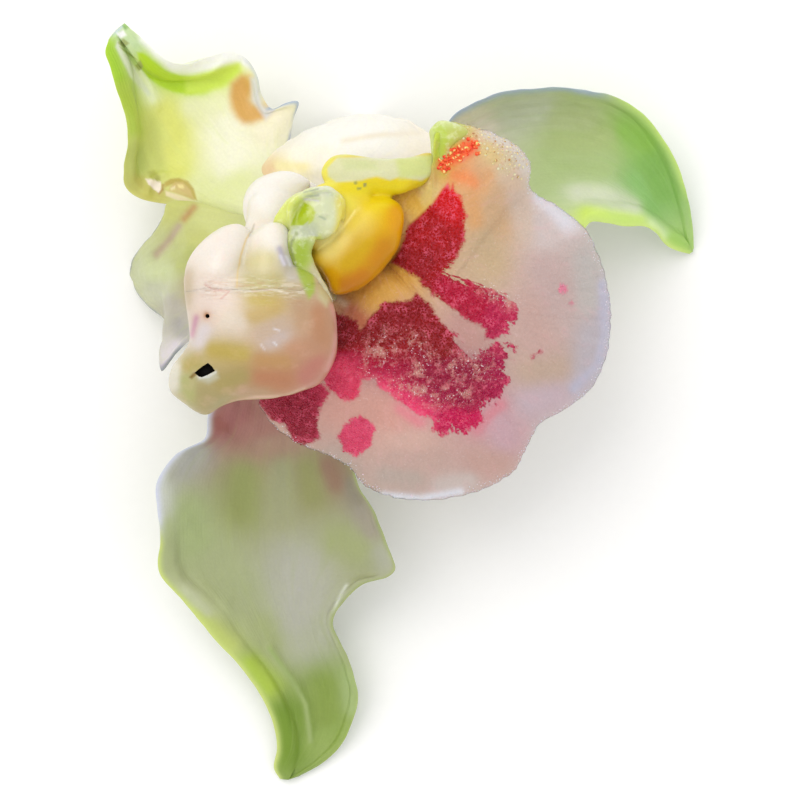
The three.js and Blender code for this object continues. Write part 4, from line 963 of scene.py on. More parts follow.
def covered(colours, shades, cover):
    """Colours with another one laid over them."""
    return colours * (1 - cover[:, None]) + tone(shades) * cover[:, None]


def swollen(points, swells):
    """Height that the swellings add at each point."""
    height = np.zeros(len(points))
    for radius, rise, path in swells:
        height += rise * nearness(points, radius, path)
    return height


def placed(name, data):
    """A new object of the scene that holds this mesh, lamp or camera."""
    thing = bpy.data.objects.new(name, data)
    bpy.context.scene.collection.objects.link(thing)
    return thing


def skin(name, points, faces):
    """A smooth closed skin whose faces point outwards."""
    mesh = bpy.data.meshes.new(name)
    mesh.from_pydata(((points + SETTLE) * MM).tolist(), [], faces)
    turned = bmesh.new()
    turned.from_mesh(mesh)
    bmesh.ops.recalc_face_normals(turned, faces=turned.faces)
    turned.to_mesh(mesh)
    turned.free()
    mesh.shade_smooth()
    return placed(name, mesh)


def ringed_skin(name, first, rings, last):
    """A closed skin of loops of points, with one point closing each end."""
    rows, columns, _ = rings.shape
    points = np.vstack([first, rings.reshape(-1, 3), last])
    faces = []
    for column in range(columns):
        beside = (column + 1) % columns
        faces.append((0, 1 + beside, 1 + column))
        for row in range(rows - 1):
            here = 1 + row * columns
            below = here + columns
            faces.append((here + column, here + beside, below + beside, below + column))
        tail = 1 + (rows - 1) * columns
        faces.append((tail + column, tail + beside, len(points) - 1))
    return skin(name, points, faces)


def of_points(piece, what):
    """Three numbers that the mesh holds for each point of a piece."""
    values = np.empty(len(piece.data.vertices) * 3)
    piece.data.vertices.foreach_get(what, values)
    return values.reshape(-1, 3)


def two_sided(name, top, under):
    """A closed skin of an upper and a lower sheet of loops that share their rim."""
    rings = np.concatenate([top, under[-2::-1]])
    return ringed_skin(name, top[0].mean(axis=0), rings, under[0].mean(axis=0))


def layout_points(piece):
    """Where the points of a piece lie in the layout, in millimetres."""
    return of_points(piece, "co") / MM - SETTLE


def moved_to(piece, points):
    """Moves the points of a piece to these places of the layout."""
    piece.data.vertices.foreach_set("co", ((points + SETTLE) * MM).ravel())
    piece.data.update()


def facing_up(piece):
    """1 where a piece faces up, -1 where it faces down."""
    return of_points(piece, "normal")[:, 2]


def store(piece, name, values):
    """Keeps a number, a colour or three numbers for each point of a piece."""
    values = np.asarray(values, dtype=float)
    if values.ndim == 1:
        kept = piece.data.attributes.new(name, "FLOAT", "POINT")
        kept.data.foreach_set("value", values)
        return
    kept = piece.data.attributes.new(name, "FLOAT_COLOR", "POINT")
    opaque = np.column_stack([values, np.ones(len(values))])
    kept.data.foreach_set("color", opaque.ravel())


def recalled(piece, name):
    """The number kept for each point of a piece."""
    values = np.empty(len(piece.data.vertices))
    piece.data.attributes[name].data.foreach_get("value", values)
    return values


def finished(piece, material, node):
    """Gives a piece its material and its place on the body, and hides the model's part that it stands for.
    """
    piece.data.materials.clear()
    piece.data.materials.append(material)
    entered(piece, node)


def entered(piece, node):
    """Hangs a piece under the root body and hides the model's part that it stands for."""
    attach(piece, "root")
    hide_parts(node)


class Wire:
    """One socket of a material. Sums written with it add Math nodes."""

    def __init__(self, finish, socket):
        self.finish = finish
        self.socket = socket

    def worked(self, operation, first, second):
        return self.finish.node("Math", {"operation": operation}, {0: first, 1: second})

    def __add__(self, other):
        return self.worked("ADD", self, other)

    def __radd__(self, other):
        return self.worked("ADD", other, self)

    def __sub__(self, other):
        return self.worked("SUBTRACT", self, other)

    def __rsub__(self, other):
        return self.worked("SUBTRACT", other, self)

    def __mul__(self, other):
        return self.worked("MULTIPLY", self, other)

    def __rmul__(self, other):
        return self.worked("MULTIPLY", other, self)


class Finish:
    """A material under construction, named for the surface it gives."""

    def __init__(self, name, **shader_numbers):
        self.material = bpy.data.materials.new(name)
        self.material.use_nodes = True
        self.tree = self.material.node_tree
        self.shader = self.tree.nodes["Principled BSDF"]
        for key, value in shader_numbers.items():
            self.shader.inputs[key.replace("_", " ")].default_value = value

    def node(self, kind, settings=None, sockets=None, out=0):
        """Adds a node: its type, its settings, then the values or links of its sockets."""
        made = self.tree.nodes.new("ShaderNode" + kind)
        for key, value in (settings or {}).items():
            setattr(made, key, value)
        for key, value in (sockets or {}).items():
            self.plug(made.inputs[key], value)
        return Wire(self, made.outputs[out])

    def plug(self, socket, value):
        if isinstance(value, Wire):
            self.tree.links.new(value.socket, socket)
        else:
            socket.default_value = value

    def set(self, key, value):
        """Feeds or sets a socket of the shader."""
        self.plug(self.shader.inputs[key], value)

    def place(self):
        """The point of the surface, in metres of the shared frame."""
        return self.node("TexCoord", out="Object")

    def kept(self, name, out="Fac"):
        """What the piece keeps for each of its points."""
        return self.node("Attribute", {"attribute_name": name}, out=out)

    def noise(self, size, detail=3.0, roughness=0.55, where=None):
        """Soft noise whose humps are about this many millimetres apart."""
        where = where or self.place()
        sockets = {"Vector": where, "Scale": 1 / (size * MM), "Detail": detail, "Roughness": roughness}
        return self.node("TexNoise", sockets=sockets, out="Fac")

    def cells(self, size):
        """Distance to the middle of the nearest cell, for cells of this many millimetres."""
        sockets = {"Vector": self.place(), "Scale": 1 / (size * MM)}
        return self.node("TexVoronoi", {"feature": "F1"}, sockets, out="Distance")

    def mask(self, value, low, high):
        """0 below low and 1 above high, with a smooth step between."""
        sockets = {"Value": value, "From Min": low, "From Max": high}
        return self.node("MapRange", {"interpolation_type": "SMOOTHSTEP"}, sockets)

    def mix(self, cover, under, over, how="MIX"):
        """One colour laid over another."""
        settings = {"data_type": "RGBA", "blend_type": how}
        return self.node("Mix", settings, {0: cover, 6: self.opaque(under), 7: self.opaque(over)}, out=2)

    def opaque(self, colour):
        return colour if isinstance(colour, Wire) else (*tone(colour), 1)

    def shaded(self, colour, level):
        """A colour made darker below 1 and lighter above it."""
        grey = self.node("CombineColor", sockets={0: level, 1: level, 2: level})
        return self.mix(1.0, colour, grey, "MULTIPLY")

    def relief(self, height, depth, strength=1.0, below=None):
        """A bump of so many millimetres, laid over an earlier one."""
        sockets = {"Height": height, "Distance": depth * MM, "Strength": strength}
        if below:
            sockets["Normal"] = below
        return self.node("Bump", sockets=sockets)


class Tree:
    """A geometry tree under construction, with named inputs for its sizes."""

    def __init__(self, name):
        self.group = bpy.data.node_groups.new(name, "GeometryNodeTree")
        self.group.interface.new_socket("Geometry", in_out="INPUT", socket_type="NodeSocketGeometry")
        self.group.interface.new_socket("Geometry", in_out="OUTPUT", socket_type="NodeSocketGeometry")
        self.entry = self.group.nodes.new("NodeGroupInput")
        self.exit = self.group.nodes.new("NodeGroupOutput")

    def size(self, name, kind="Float"):
        """Adds a named input and returns its socket inside the tree."""
        self.group.interface.new_socket(name, in_out="INPUT", socket_type="NodeSocket" + kind)
        return self.entry.outputs[name]

    def node(self, kind, settings=None, sockets=None, out=0):
        made = self.group.nodes.new(kind)
        for key, value in (settings or {}).items():
            setattr(made, key, value)
        for key, value in (sockets or {}).items():
            if isinstance(value, bpy.types.NodeSocket):
                self.group.links.new(value, made.inputs[key])
            else:
                made.inputs[key].default_value = value
        return made.outputs[out]

    def math(self, operation, first, second=0.0):
        return self.node("ShaderNodeMath", {"operation": operation}, {0: first, 1: second})

    def end(self, geometry, material):
        """Closes the tree with real faces in one material."""
        real = self.node("GeometryNodeRealizeInstances", sockets={"Geometry": geometry})
        coated = self.node("GeometryNodeSetMaterial", sockets={"Geometry": real, "Material": material})
        self.group.links.new(coated, self.exit.inputs[0])


def grown(name, source, tree, sizes):
    """The plain mesh that a tree makes of a source piece; the tree is then taken off the source."""
    modifier = source.modifiers.new("grow", "NODES")
    modifier.node_group = tree.group
    for socket in tree.group.interface.items_tree:
        if socket.name in sizes:
            modifier[socket.identifier] = sizes[socket.name]
    source.update_tag()
    evaluated = source.evaluated_get(bpy.context.evaluated_depsgraph_get())
    mesh = bpy.data.meshes.new_from_object(evaluated)
    source.modifiers.remove(modifier)
    mesh.name = name
    return placed(name, mesh)


def rooted(curve, pull=0.45, reach=0.12):
    """Draws the base of a blade's edge in towards the top of the ovary."""
    fade = ease(1 - np.linspace(0, 1, len(curve)) / reach)[:, None]
    towards = np.array([OVARY_TOP[0], OVARY_TOP[1], curve[0, 2]]) - curve[0]
    return curve + pull * fade * towards


def sheet_facing(sheet):
    """Which way a sheet of points faces at each of them."""
    facing = np.cross(np.gradient(sheet, axis=1), np.gradient(sheet, axis=0))
    return facing / (np.linalg.norm(facing, axis=2, keepdims=True) + 1e-9)


def along_edge(side, start, end, fade, along, across):
    """1 on one side of a blade between two places along it, fading at both."""
    beside = (across < 0) if side == "left" else (across > 0)
    return beside * ease((along - start) / fade) * ease((end - along) / fade)


def blade_piece(name, outline, hems, swells, seed):
    """A sepal or petal: a curved blade with thin margins, rolled hems and swellings."""
    left = rooted(curve_through(outline["left"], BLADE_ROWS))
    midrib = rooted(curve_through(outline["midrib"], BLADE_ROWS))
    right = rooted(curve_through(outline["right"], BLADE_ROWS))
    across = np.sin(np.linspace(-1, 1, BLADE_COLUMNS) * math.pi / 2)
    along = np.linspace(0, 1, BLADE_ROWS + 1)[:, None]
    cup = ((left + right) / 2 - midrib)[:, None] * (across**2)[None, :, None]
    sheet = midrib[:, None] + across[None, :, None] * (right - left)[:, None] / 2 + cup
    facing = sheet_facing(sheet)
    facing *= np.sign(facing[..., 2].mean())
    half_width = np.linalg.norm(right - left, axis=1)[:, None] / 2
    from_edge = (1 - np.abs(across))[None, :] * half_width
    lift = np.zeros(from_edge.shape)
    for side, start, end, width, height in hems:
        shown = along_edge(side, start, end, HEM_FADE, along, across)
        round_top = np.clip(1 - (2 * from_edge / width - 1) ** 2, 0, 1) ** 1.3
        lift = np.maximum(lift, height * shown * round_top)
    flat = sheet.reshape(-1, 3)
    uneven = 0.14 * ripple(flat, 6.5, seed) + 0.035 * ripple(flat, 1.9, seed + 1) + swollen(flat, swells)
    uneven = uneven.reshape(from_edge.shape) * ease(along / 0.1)
    pleats = 0.02 * np.cos(11 * math.pi * across)[None, :] * np.sin(math.pi * along)
    body = MARGIN_SHARE + (1 - MARGIN_SHARE) * (1 - across**2)
    half = BLADE_THICKNESS / 2 * body * np.sqrt(1 - np.abs(across) ** 14) * (1 - 0.45 * along**6)
    top = sheet + facing * (half + lift + uneven + pleats)[..., None]
    under = sheet + facing * (uneven + pleats - half - 0.3 * lift)[..., None]
    rings = np.concatenate([top, under[:, -2:0:-1]], axis=1)
    tip = 2 * rings[-1].mean(axis=0) - rings[-2].mean(axis=0)
    piece = ringed_skin(name, rings[0].mean(axis=0), rings, tip)
    loop = np.concatenate([across, across[-2:0:-1]])
    faces_top = np.concatenate([np.ones(BLADE_COLUMNS), np.zeros(BLADE_COLUMNS - 2)])
    steps = np.repeat(along[:, 0], len(loop))
    store(piece, "along", np.concatenate([[0], steps, [1]]))
    store(piece, "across", np.concatenate([[0], np.tile(loop, BLADE_ROWS + 1), [0]]))
    store(piece, "top", np.concatenate([[1], np.tile(faces_top, BLADE_ROWS + 1), [1]]))
    edge = np.concatenate([from_edge, from_edge[:, -2:0:-1]], axis=1).ravel()
    store(piece, "edge", np.concatenate([[9], edge, [0]]))
    return piece


def margined(piece, colours, margins):
    """Colours with thin margins laid along the edges of a blade."""
    along = recalled(piece, "along")
    across = recalled(piece, "across")
    edge = recalled(piece, "edge")
    for side, start, end, width, shades in margins:
        shown = along_edge(side, start, end, MARGIN_FADE, along, across)
        colours = covered(colours, shades, shown * np.exp(-((edge / width) ** 2)))
    return colours


def tepal(node, outline, hems, strokes, patches, margins, swells, seed):
    """One sepal or petal, shaped, painted and entered."""
    piece = blade_piece(node + "_blade", outline, hems, swells, seed)
    colours = painted(layout_points(piece), node, strokes, patches)
    store(piece, "tint", margined(piece, colours, margins))
    length = np.linalg.norm(np.diff(np.array(outline["midrib"], dtype=float), axis=0), axis=1).sum()
    finished(piece, tepal_finish(node, length), node)
    return piece


def lip_relief(points, share, lap):
    """How far the lip's blade rises and falls about its plain dome."""
    ruffle = 0.18 * np.sin(13 * lap + 2.2 * np.sin(3 * lap))
    ruffle += 0.1 * np.sin(29 * lap + 1.5 * np.sin(5 * lap))
    pleats = 0.035 * np.sin(64 * lap + 3 * np.sin(4 * lap))
    broad = 0.3 * ripple(points[:, :2], 8.5, 31)
    grain = 0.035 * ripple(points[:, :2], 0.9, 32)
    rolled = -1.1 * np.clip((share - 0.93) / 0.07, 0, 1) ** 2
    return ruffle * share**6 + pleats * share**3 + broad + grain + rolled + swollen(points, LIP_SWELLS)


def lip_blade():
    """The lip's broad blade: a dome with a ruffled, rolled rim and a velvety stain."""
    rim = curve_through(LIP_OUTLINE, LIP_SPOKES, closed=True)
    lap = np.linspace(0, math.tau, LIP_SPOKES, endpoint=False)
    share = np.linspace(0, 1, LIP_RINGS + 1)[1:]
    crown = np.array(LIP_CROWN)
    fringe = 1 + 0.0022 * np.sin(97 * lap + 4 * np.sin(7 * lap))
    fringe += 0.002 * np.sin(53 * lap + 3 * np.sin(11 * lap))
    spokes = (rim - crown) * np.column_stack([fringe, fringe, np.ones(LIP_SPOKES)])
    plan = share[:, None, None] * spokes[None, :, :]
    sheet = crown + plan
    sheet[..., 2] = crown[2] + spokes[None, :, 2] * share[:, None] ** LIP_DOME_POWER
    flat = sheet.reshape(-1, 3)
    shares = np.repeat(share, LIP_SPOKES)
    laps = np.tile(lap, LIP_RINGS)
    depth = stain_depth(flat)
    velvet = np.clip(depth / 0.5 + 0.3, 0, 1)
    raised = lip_relief(flat, shares, laps) + velvet * (0.08 + 0.05 * ripple(flat[:, :2], 0.75, 33))
    half = LIP_THICKNESS / 2 * (1 - 0.55 * shares**4) * np.sqrt(1 - shares**46)
    top = flat + np.column_stack([0 * half, 0 * half, raised + half])
    under = flat + np.column_stack([0 * half, 0 * half, raised - half])
    loops = (LIP_RINGS, LIP_SPOKES, 3)
    piece = two_sided("lip_blade", top.reshape(loops), under.reshape(loops))
    shares_down = np.concatenate([share, share[-2::-1]])
    top_rows = np.concatenate([np.ones(LIP_RINGS), np.zeros(LIP_RINGS - 1)])
    store(piece, "share", np.concatenate([[0], np.repeat(shares_down, LIP_SPOKES), [0]]))
    store(piece, "top", np.concatenate([[1], np.repeat(top_rows, LIP_SPOKES), [0]]))
    paint_lip(piece)
    finished(piece, lip_finish(), "lip")
    return piece


def stain_depth(points):
    """Depth inside the crimson stain, positive inside any of its patches."""
    depth = np.full(len(points), -9.0)
    for patch in STAIN_PATCHES:
        depth = np.maximum(depth, depth_inside(points, patch))
    for place, radius in STAIN_FLECKS:
        depth = np.maximum(depth, radius - distance_to_path(points, [place]))
    return depth


def gathered(points, areas):
    """The strongest of some soft areas at each point."""
    strongest = np.zeros(len(points))
    for _, radius, path in areas:
        strongest = np.maximum(strongest, nearness(points, radius, path))
    return strongest


def paint_lip(piece):
    """Keeps the lip's colours and where its surface changes."""
    points = layout_points(piece)
    from_origin = points[:, :2] - np.array(VEIN_ORIGIN)
    heading = np.arctan2(from_origin[:, 1], from_origin[:, 0])
    reach = np.hypot(from_origin[:, 0], from_origin[:, 1])
    store(piece, "tint", painted(points, "lip", LIP_STROKES))
    store(piece, "stain", painted(points, "stain", STAIN_STROKES))
    store(piece, "fan", np.column_stack([np.cos(heading) * 10, np.sin(heading) * 10, reach * 0.22]))
    depth = stain_depth(points)
    store(piece, "depth", depth)
    store(piece, "fray", gathered(points, FRAYED_EDGES))
    store(piece, "worn", gathered(points, WORN_PLACES))
    upper = facing_up(piece) > 0
    store(piece, "crisp", gathered(points, CRISP_EDGES))
    store(piece, "granular", upper * np.clip(gathered(points, ORANGE_GRAINS) * 2 - 0.8, 0, 1))
    store(piece, "warty", upper * np.clip(gathered(points, PALE_WARTS) * 1.6 - 0.5, 0, 1))
    store(piece, "velvet", np.clip(depth / 0.6, 0, 1) * upper)
    front = ease((points[:, 0] - FRINGE_FROM[0]) / 6) + ease((FRINGE_FROM[1] - points[:, 1]) / 6)
    store(piece, "fringe", ease((recalled(piece, "share") - 0.95) / 0.05) * np.clip(front, 0, 1))


def sprinkled(name, blade, cover, spacing, smallest, largest, flatness, coat):
    """Grains scattered over the part of a blade that an attribute covers."""
    tree = Tree(name)
    gap = tree.size("Spacing")
    low = tree.size("Smallest")
    high = tree.size("Largest")
    rise = tree.size("Rise")
    seed = tree.size("Seed", "Int")
    share = tree.node("GeometryNodeInputNamedAttribute", {"data_type": "FLOAT"}, {"Name": cover})
    scattered = tree.node(
        "GeometryNodeDistributePointsOnFaces",
        {"distribute_method": "POISSON"},
        {"Mesh": tree.entry.outputs[0], "Distance Min": gap, "Density Max": 3e7, "Density Factor": share,
         "Seed": seed},
    )
    rotation = scattered.node.outputs["Rotation"]
    ball = tree.node("GeometryNodeMeshIcoSphere", sockets={"Radius": 1.0, "Subdivisions": 1})
    squash = tree.node("ShaderNodeCombineXYZ", sockets={0: 1.0, 1: 1.0, 2: rise})
    grain = tree.node("GeometryNodeTransform", sockets={"Geometry": ball, "Scale": squash})
    between = {2: low, 3: high, "Seed": seed}
    size = tree.node("FunctionNodeRandomValue", {"data_type": "FLOAT"}, between, out=1)
    placed = tree.node(
        "GeometryNodeInstanceOnPoints",
        sockets={"Points": scattered, "Instance": grain, "Rotation": rotation, "Scale": size},
    )
    tree.end(placed, coat)
    sizes = {
        "Spacing": spacing * MM, "Smallest": smallest * MM, "Largest": largest * MM, "Rise": flatness,
        "Seed": GRAIN_SEED,
    }
    piece = grown(name, blade, tree, sizes)
    piece.data.shade_smooth()
    entered(piece, "lip")


def lip_grains(blade):
    """The grains of the stain, the orange grains and warts of the far lobe, and the rim's down."""
    coats = (grain_finish, orange_grain_finish, wart_finish, fuzz_finish)
    for (name, sizes), coat in zip(LIP_GRAINS.items(), coats):
        sprinkled(name, blade, *sizes, coat())


def pillow(outline, points):
    """Height of a taut pillow over an outline, from 0 on its rim to 1 at its top."""
    low = outline.min(axis=0) - 0.3
    high = outline.max(axis=0) + 0.3
    xs = np.linspace(low[0], high[0], PILLOW_CELLS)
    ys = np.linspace(low[1], high[1], PILLOW_CELLS)
    grid = np.stack(np.meshgrid(xs, ys, indexing="ij"), axis=2)
    inside = depth_inside(grid.reshape(-1, 2), outline).reshape(grid.shape[:2]) > 0
    level = np.zeros(inside.shape)
    for _ in range(PILLOW_STEPS):
        around = np.zeros(inside.shape)
        around[1:-1, 1:-1] = level[2:, 1:-1] + level[:-2, 1:-1] + level[1:-1, 2:] + level[1:-1, :-2]
        level = np.where(inside, around / 4 + 1, 0)
    spot = (points - low) / (high - low) * (PILLOW_CELLS - 1)
    corner = np.clip(spot.astype(int), 0, PILLOW_CELLS - 2)
    part = spot - corner
    column, row = corner.T
    near = level[column, row] * (1 - part[:, 1]) + level[column, row + 1] * part[:, 1]
    far = level[column + 1, row] * (1 - part[:, 1]) + level[column + 1, row + 1] * part[:, 1]
    return (near * (1 - part[:, 0]) + far * part[:, 0]) / level.max()


def cushion(name, outline, base, rise, sink, centre=None, power=2.0, swells=()):
    """A swollen cushion over an outline: its rim lies at the base height."""
    spokes, count = CUSHION_STEPS
    flat_outline = [(x, y, 0) for x, y in outline]
    rim = curve_through(flat_outline, spokes, closed=True)[:, :2]
    middle = np.array(centre) if centre else rim.mean(axis=0)
    share = np.sin(np.linspace(0, math.pi / 2, count + 1)[1:])
    plan = (middle + share[:, None, None] * (rim - middle)[None]).reshape(-1, 2)
    height = pillow(rim, plan) ** (1 / power)
    height[-spokes:] = 0
    top = np.column_stack([plan, base + rise * height + swollen(plan, swells) * (height > 0)])
    under = np.column_stack([plan, base - sink * height])
    return two_sided(name, top.reshape(count, spokes, 3), under.reshape(count, spokes, 3))


def cushions(sizes):
    """One cushion for each name."""
    return [cushion(name, **size) for name, size in sizes.items()]


def tube(name, path, radii, rings=90, sides=64):
    """A round tube along a path, closed at both ends."""
    line = curve_through(path, rings)
    lengths = np.linspace(0, 1, len(radii))
    girth = np.interp(np.linspace(0, 1, rings + 1), lengths, radii)
    tangent = np.gradient(line, axis=0)
    tangent /= np.linalg.norm(tangent, axis=1, keepdims=True)
    side = np.cross(tangent, [0.3, 1.0, 0.1])
    side /= np.linalg.norm(side, axis=1, keepdims=True)
    over = np.cross(side, tangent)
    turn = np.linspace(0, math.tau, sides, endpoint=False)
    section = np.cos(turn)[None, :, None] * side[:, None] + np.sin(turn)[None, :, None] * over[:, None]
    loops = line[:, None] + girth[:, None, None] * section
    return ringed_skin(name, line[0], loops, line[-1])


def egg(name, centre, half, steps=(48, 24)):
    """A closed oval body."""
    spokes, count = steps
    turn = np.linspace(0, math.pi, count + 1)[1:-1]
    round_angle = np.linspace(0, math.tau, spokes, endpoint=False)
    wide = np.sin(turn)[:, None]
    level = np.cos(turn)[:, None] * np.ones(spokes)
    loops = np.stack([wide * np.cos(round_angle), wide * np.sin(round_angle), level], axis=2)
    loops = np.array(centre) + loops * np.array(half)
    top = np.array(centre) + (0, 0, half[2])
    bottom = np.array(centre) - (0, 0, half[2])
    return ringed_skin(name, top, loops, bottom)


def heaped(name, pieces):
    """Pieces gathered in one, which takes their place."""
    heap = bmesh.new()
    for piece in pieces:
        heap.from_mesh(piece.data)
        bpy.data.objects.remove(piece, do_unlink=True)
    mesh = bpy.data.meshes.new(name)
    heap.to_mesh(mesh)
    heap.free()
    return placed(name, mesh)


def melted(name, pieces, voxel=MELT_VOXEL, passes=MELT_PASSES):
    """Closed pieces fused into one soft body."""
    body = heaped(name + "_parts", pieces)
    fused = body.modifiers.new("fuse", "REMESH")
    fused.mode = "VOXEL"
    fused.voxel_size = voxel * MM
    softened = body.modifiers.new("soften", "SMOOTH")
    softened.factor = 0.5
    softened.iterations = passes
    return settled(name, body)


def settled(name, body):
    """The piece's final mesh, with its modifiers worked in, under a new name."""
    evaluated = body.evaluated_get(bpy.context.evaluated_depsgraph_get())
    mesh = bpy.data.meshes.new_from_object(evaluated)
    mesh.name = name
    mesh.shade_smooth()
    done = placed(name, mesh)
    for piece in [body] + [other.object for other in body.modifiers if other.type == "BOOLEAN"]:
        bpy.data.objects.remove(piece, do_unlink=True)
    return done


def roughened(piece, size, height, seed):
    """Moves the points of a piece along their normals by soft noise."""
    points = layout_points(piece)
    wave = height * ripple(points, size, seed)
    moved_to(piece, points + of_points(piece, "normal") * wave[:, None])


def head():
    """The column's end as one soft body: its arch, crown, two shoulders and the cap."""
    arch = tube("column_arch", COLUMN_PATH, COLUMN_RADII)
    body = melted("head", [arch] + cushions(HEAD_CUSHIONS))
    roughened(body, *HUMPS["head"])
    return wrinkled(body)


def wrinkled(piece):
    """Small folds across the seam between the cap and the shoulders."""
    points = layout_points(piece)
    seam = nearness(points, SEAM["radius"], SEAM["path"]) * (points[:, 2] > SEAM["above"])
    bent = points[:, 1] + 0.25 * ripple(points[:, :2], 2.4, 42)
    points[:, 2] += np.sin(math.tau * bent / SEAM["spacing"]) * SEAM["height"] * seam
    moved_to(piece, points)
    return piece


def coloured(piece, ground, strokes, patches=()):
    """Keeps each point's colour, with fine strokes on its upper side only, and the seam's folds."""
    points = layout_points(piece)
    upper = np.clip(facing_up(piece) * 5, 0, 1)[:, None]
    sides = painted(points, ground, [stroke for stroke in strokes if stroke[2] > FINE_STROKE])
    store(piece, "tint", sides + (painted(points, ground, strokes, patches) - sides) * upper)
    store(piece, "seam", nearness(points, SEAM["radius"], SEAM["path"]))


def cut_away(body, cutter, operation="DIFFERENCE"):
    """Takes a cutter out of a body, leaving the cutter's material in the cut."""
    cut = body.modifiers.new("cut", "BOOLEAN")
    cut.operation = operation
    cut.solver = "EXACT"
    cut.material_mode = "TRANSFER"
    cut.object = cutter


def shaft(name, outline, low, high):
    """An upright prism over an outline."""
    loops = [[(x, y, level) for x, y in outline] for level in (high, low)]
    rings = np.array(loops, dtype=float)
    return ringed_skin(name, rings[0].mean(axis=0), rings, rings[1].mean(axis=0))


def column_body(whole):
    """The column: all of the head but the cap, with the tongue that the cap sits on."""
    body = placed("column_half", whole.data.copy())
    cut_away(body, shaft("cap_side", CAP_SIDE, *CAP_SPAN))
    tongue = egg("tongue", TONGUE["centre"], TONGUE["half"])
    column = heaped("column_body", [settled("column_trunk", body), tongue])
    column.data.shade_smooth()
    coloured(column, "column", HEAD_STROKES, HEAD_PATCHES)
    finished(column, waxy_finish("column"), "column")


def round_outline(centre, radius, sides):
    """A regular outline round a centre."""
    turns = np.linspace(0, math.tau, sides, endpoint=False)
    return [(centre[0] + radius * math.cos(turn), centre[1] + radius * math.sin(turn)) for turn in turns]


def anther_cap(whole):
    """The hooded cap at the column's end, hollow below, with its slit and pore."""
    whole.data.materials.append(waxy_finish("anther_cap"))
    cut_away(whole, shaft("cap_side", CAP_SIDE, *CAP_SPAN), "INTERSECT")
    hollow = egg("cap_hollow", CAP_HOLLOW["centre"], CAP_HOLLOW["half"])
    hollow.data.materials.append(lining_finish())
    slit = shaft("slit", SLIT, *SLIT_SPAN)
    pore = shaft("pore", round_outline(PORE["centre"], PORE["radius"], 16), *PORE["span"])
    # The slit and the pore are lined with painted shade, near-black.
    for opening in (slit, pore):
        opening.data.materials.append(opening_shade_finish())
    for cutter in (hollow, slit, pore):
        cut_away(whole, cutter)
    cap = settled("anther_cap_helmet", whole)
    coloured(cap, "anther_cap", HEAD_STROKES, HEAD_PATCHES)
    entered(cap, "anther_cap")


def pollinium(node):
    """One waxy pollen mass, cleft down its middle."""
    centre = np.array(POLLINIA[node])
    grain = egg(node + "_grain", centre, POLLINIUM_HALF, steps=(64, 40))
    points = layout_points(grain)
    cleft = np.exp(-(((points[:, 0] - centre[0]) / 0.16) ** 2))
    moved_to(grain, points + (centre - points) * (0.12 * cleft)[:, None])
    roughened(grain, *HUMPS["pollinium"])
    finished(grain, pollen_finish(), node)
    return grain


def viscidium():
    """The sticky pad that carries both pollen masses."""
    pad = egg("viscidium_pad", VISCIDIUM["centre"], VISCIDIUM["half"], steps=(72, 40))
    roughened(pad, *HUMPS["viscidium"])
    finished(pad, pad_finish(), "viscidium")
    return pad


def keels():
    """The two glossy keels on the lip and the low saddle that joins them."""
    body = melted("lip_keels", cushions(KEEL_CUSHIONS), passes=KEEL_PASSES)
    roughened(body, *HUMPS["keels"])
    store(body, "tint", painted(layout_points(body), "keels", KEEL_STROKES, KEEL_PATCHES))
    finished(body, keel_finish(), "lip")


def lobe_wall():
    """The upright wall of the near side lobe."""
    foot = curve_through(LOBE_FOOT, 90)
    rim = curve_through(LOBE_RIM, 90)
    up = np.linspace(0, 1, 30)[None, :, None]
    sheet = foot[:, None] * (1 - up) + rim[:, None] * up
    facing = sheet_facing(sheet)
    wave = (0.1 * ripple(sheet.reshape(-1, 3), 3.5, 81)).reshape(sheet.shape[:2])
    half = 0.36 * np.sqrt(1 - np.abs(2 * up[..., 0] - 1) ** 10)
    front = sheet + facing * (wave + half)[..., None]
    back = sheet + facing * (wave - half)[..., None]
    rings = np.concatenate([front, back[:, -2:0:-1]], axis=1)
    return ringed_skin("near_lobe_wall", rings[0].mean(axis=0), rings, rings[-1].mean(axis=0))


def near_lobe():
    """The side lobe beside the column: its wall, its green back and its curled end."""
    parts = cushions(LOBE_CUSHIONS)
    lobe = melted("lip_near_lobe", [lobe_wall()] + parts, voxel=LOBE_VOXEL, passes=LOBE_PASSES)
    roughened(lobe, *HUMPS["near_lobe"])
    store(lobe, "tint", painted(layout_points(lobe), "near_lobe", NEAR_LOBE_STROKES, LOBE_PATCHES))
    finished(lobe, clear_finish("near_lobe"), "lip")


def far_lobe_hem():
    """The rounded lime hem of the far side lobe."""
    hem = cushion("lip_far_lobe_hem", **HEM_CUSHION)
    roughened(hem, *HUMPS["far_lobe_hem"])
    store(hem, "tint", painted(layout_points(hem), "far_lobe_hem", FAR_LOBE_HEM_STROKES))
    finished(hem, clear_finish("far_lobe_hem"), "lip")


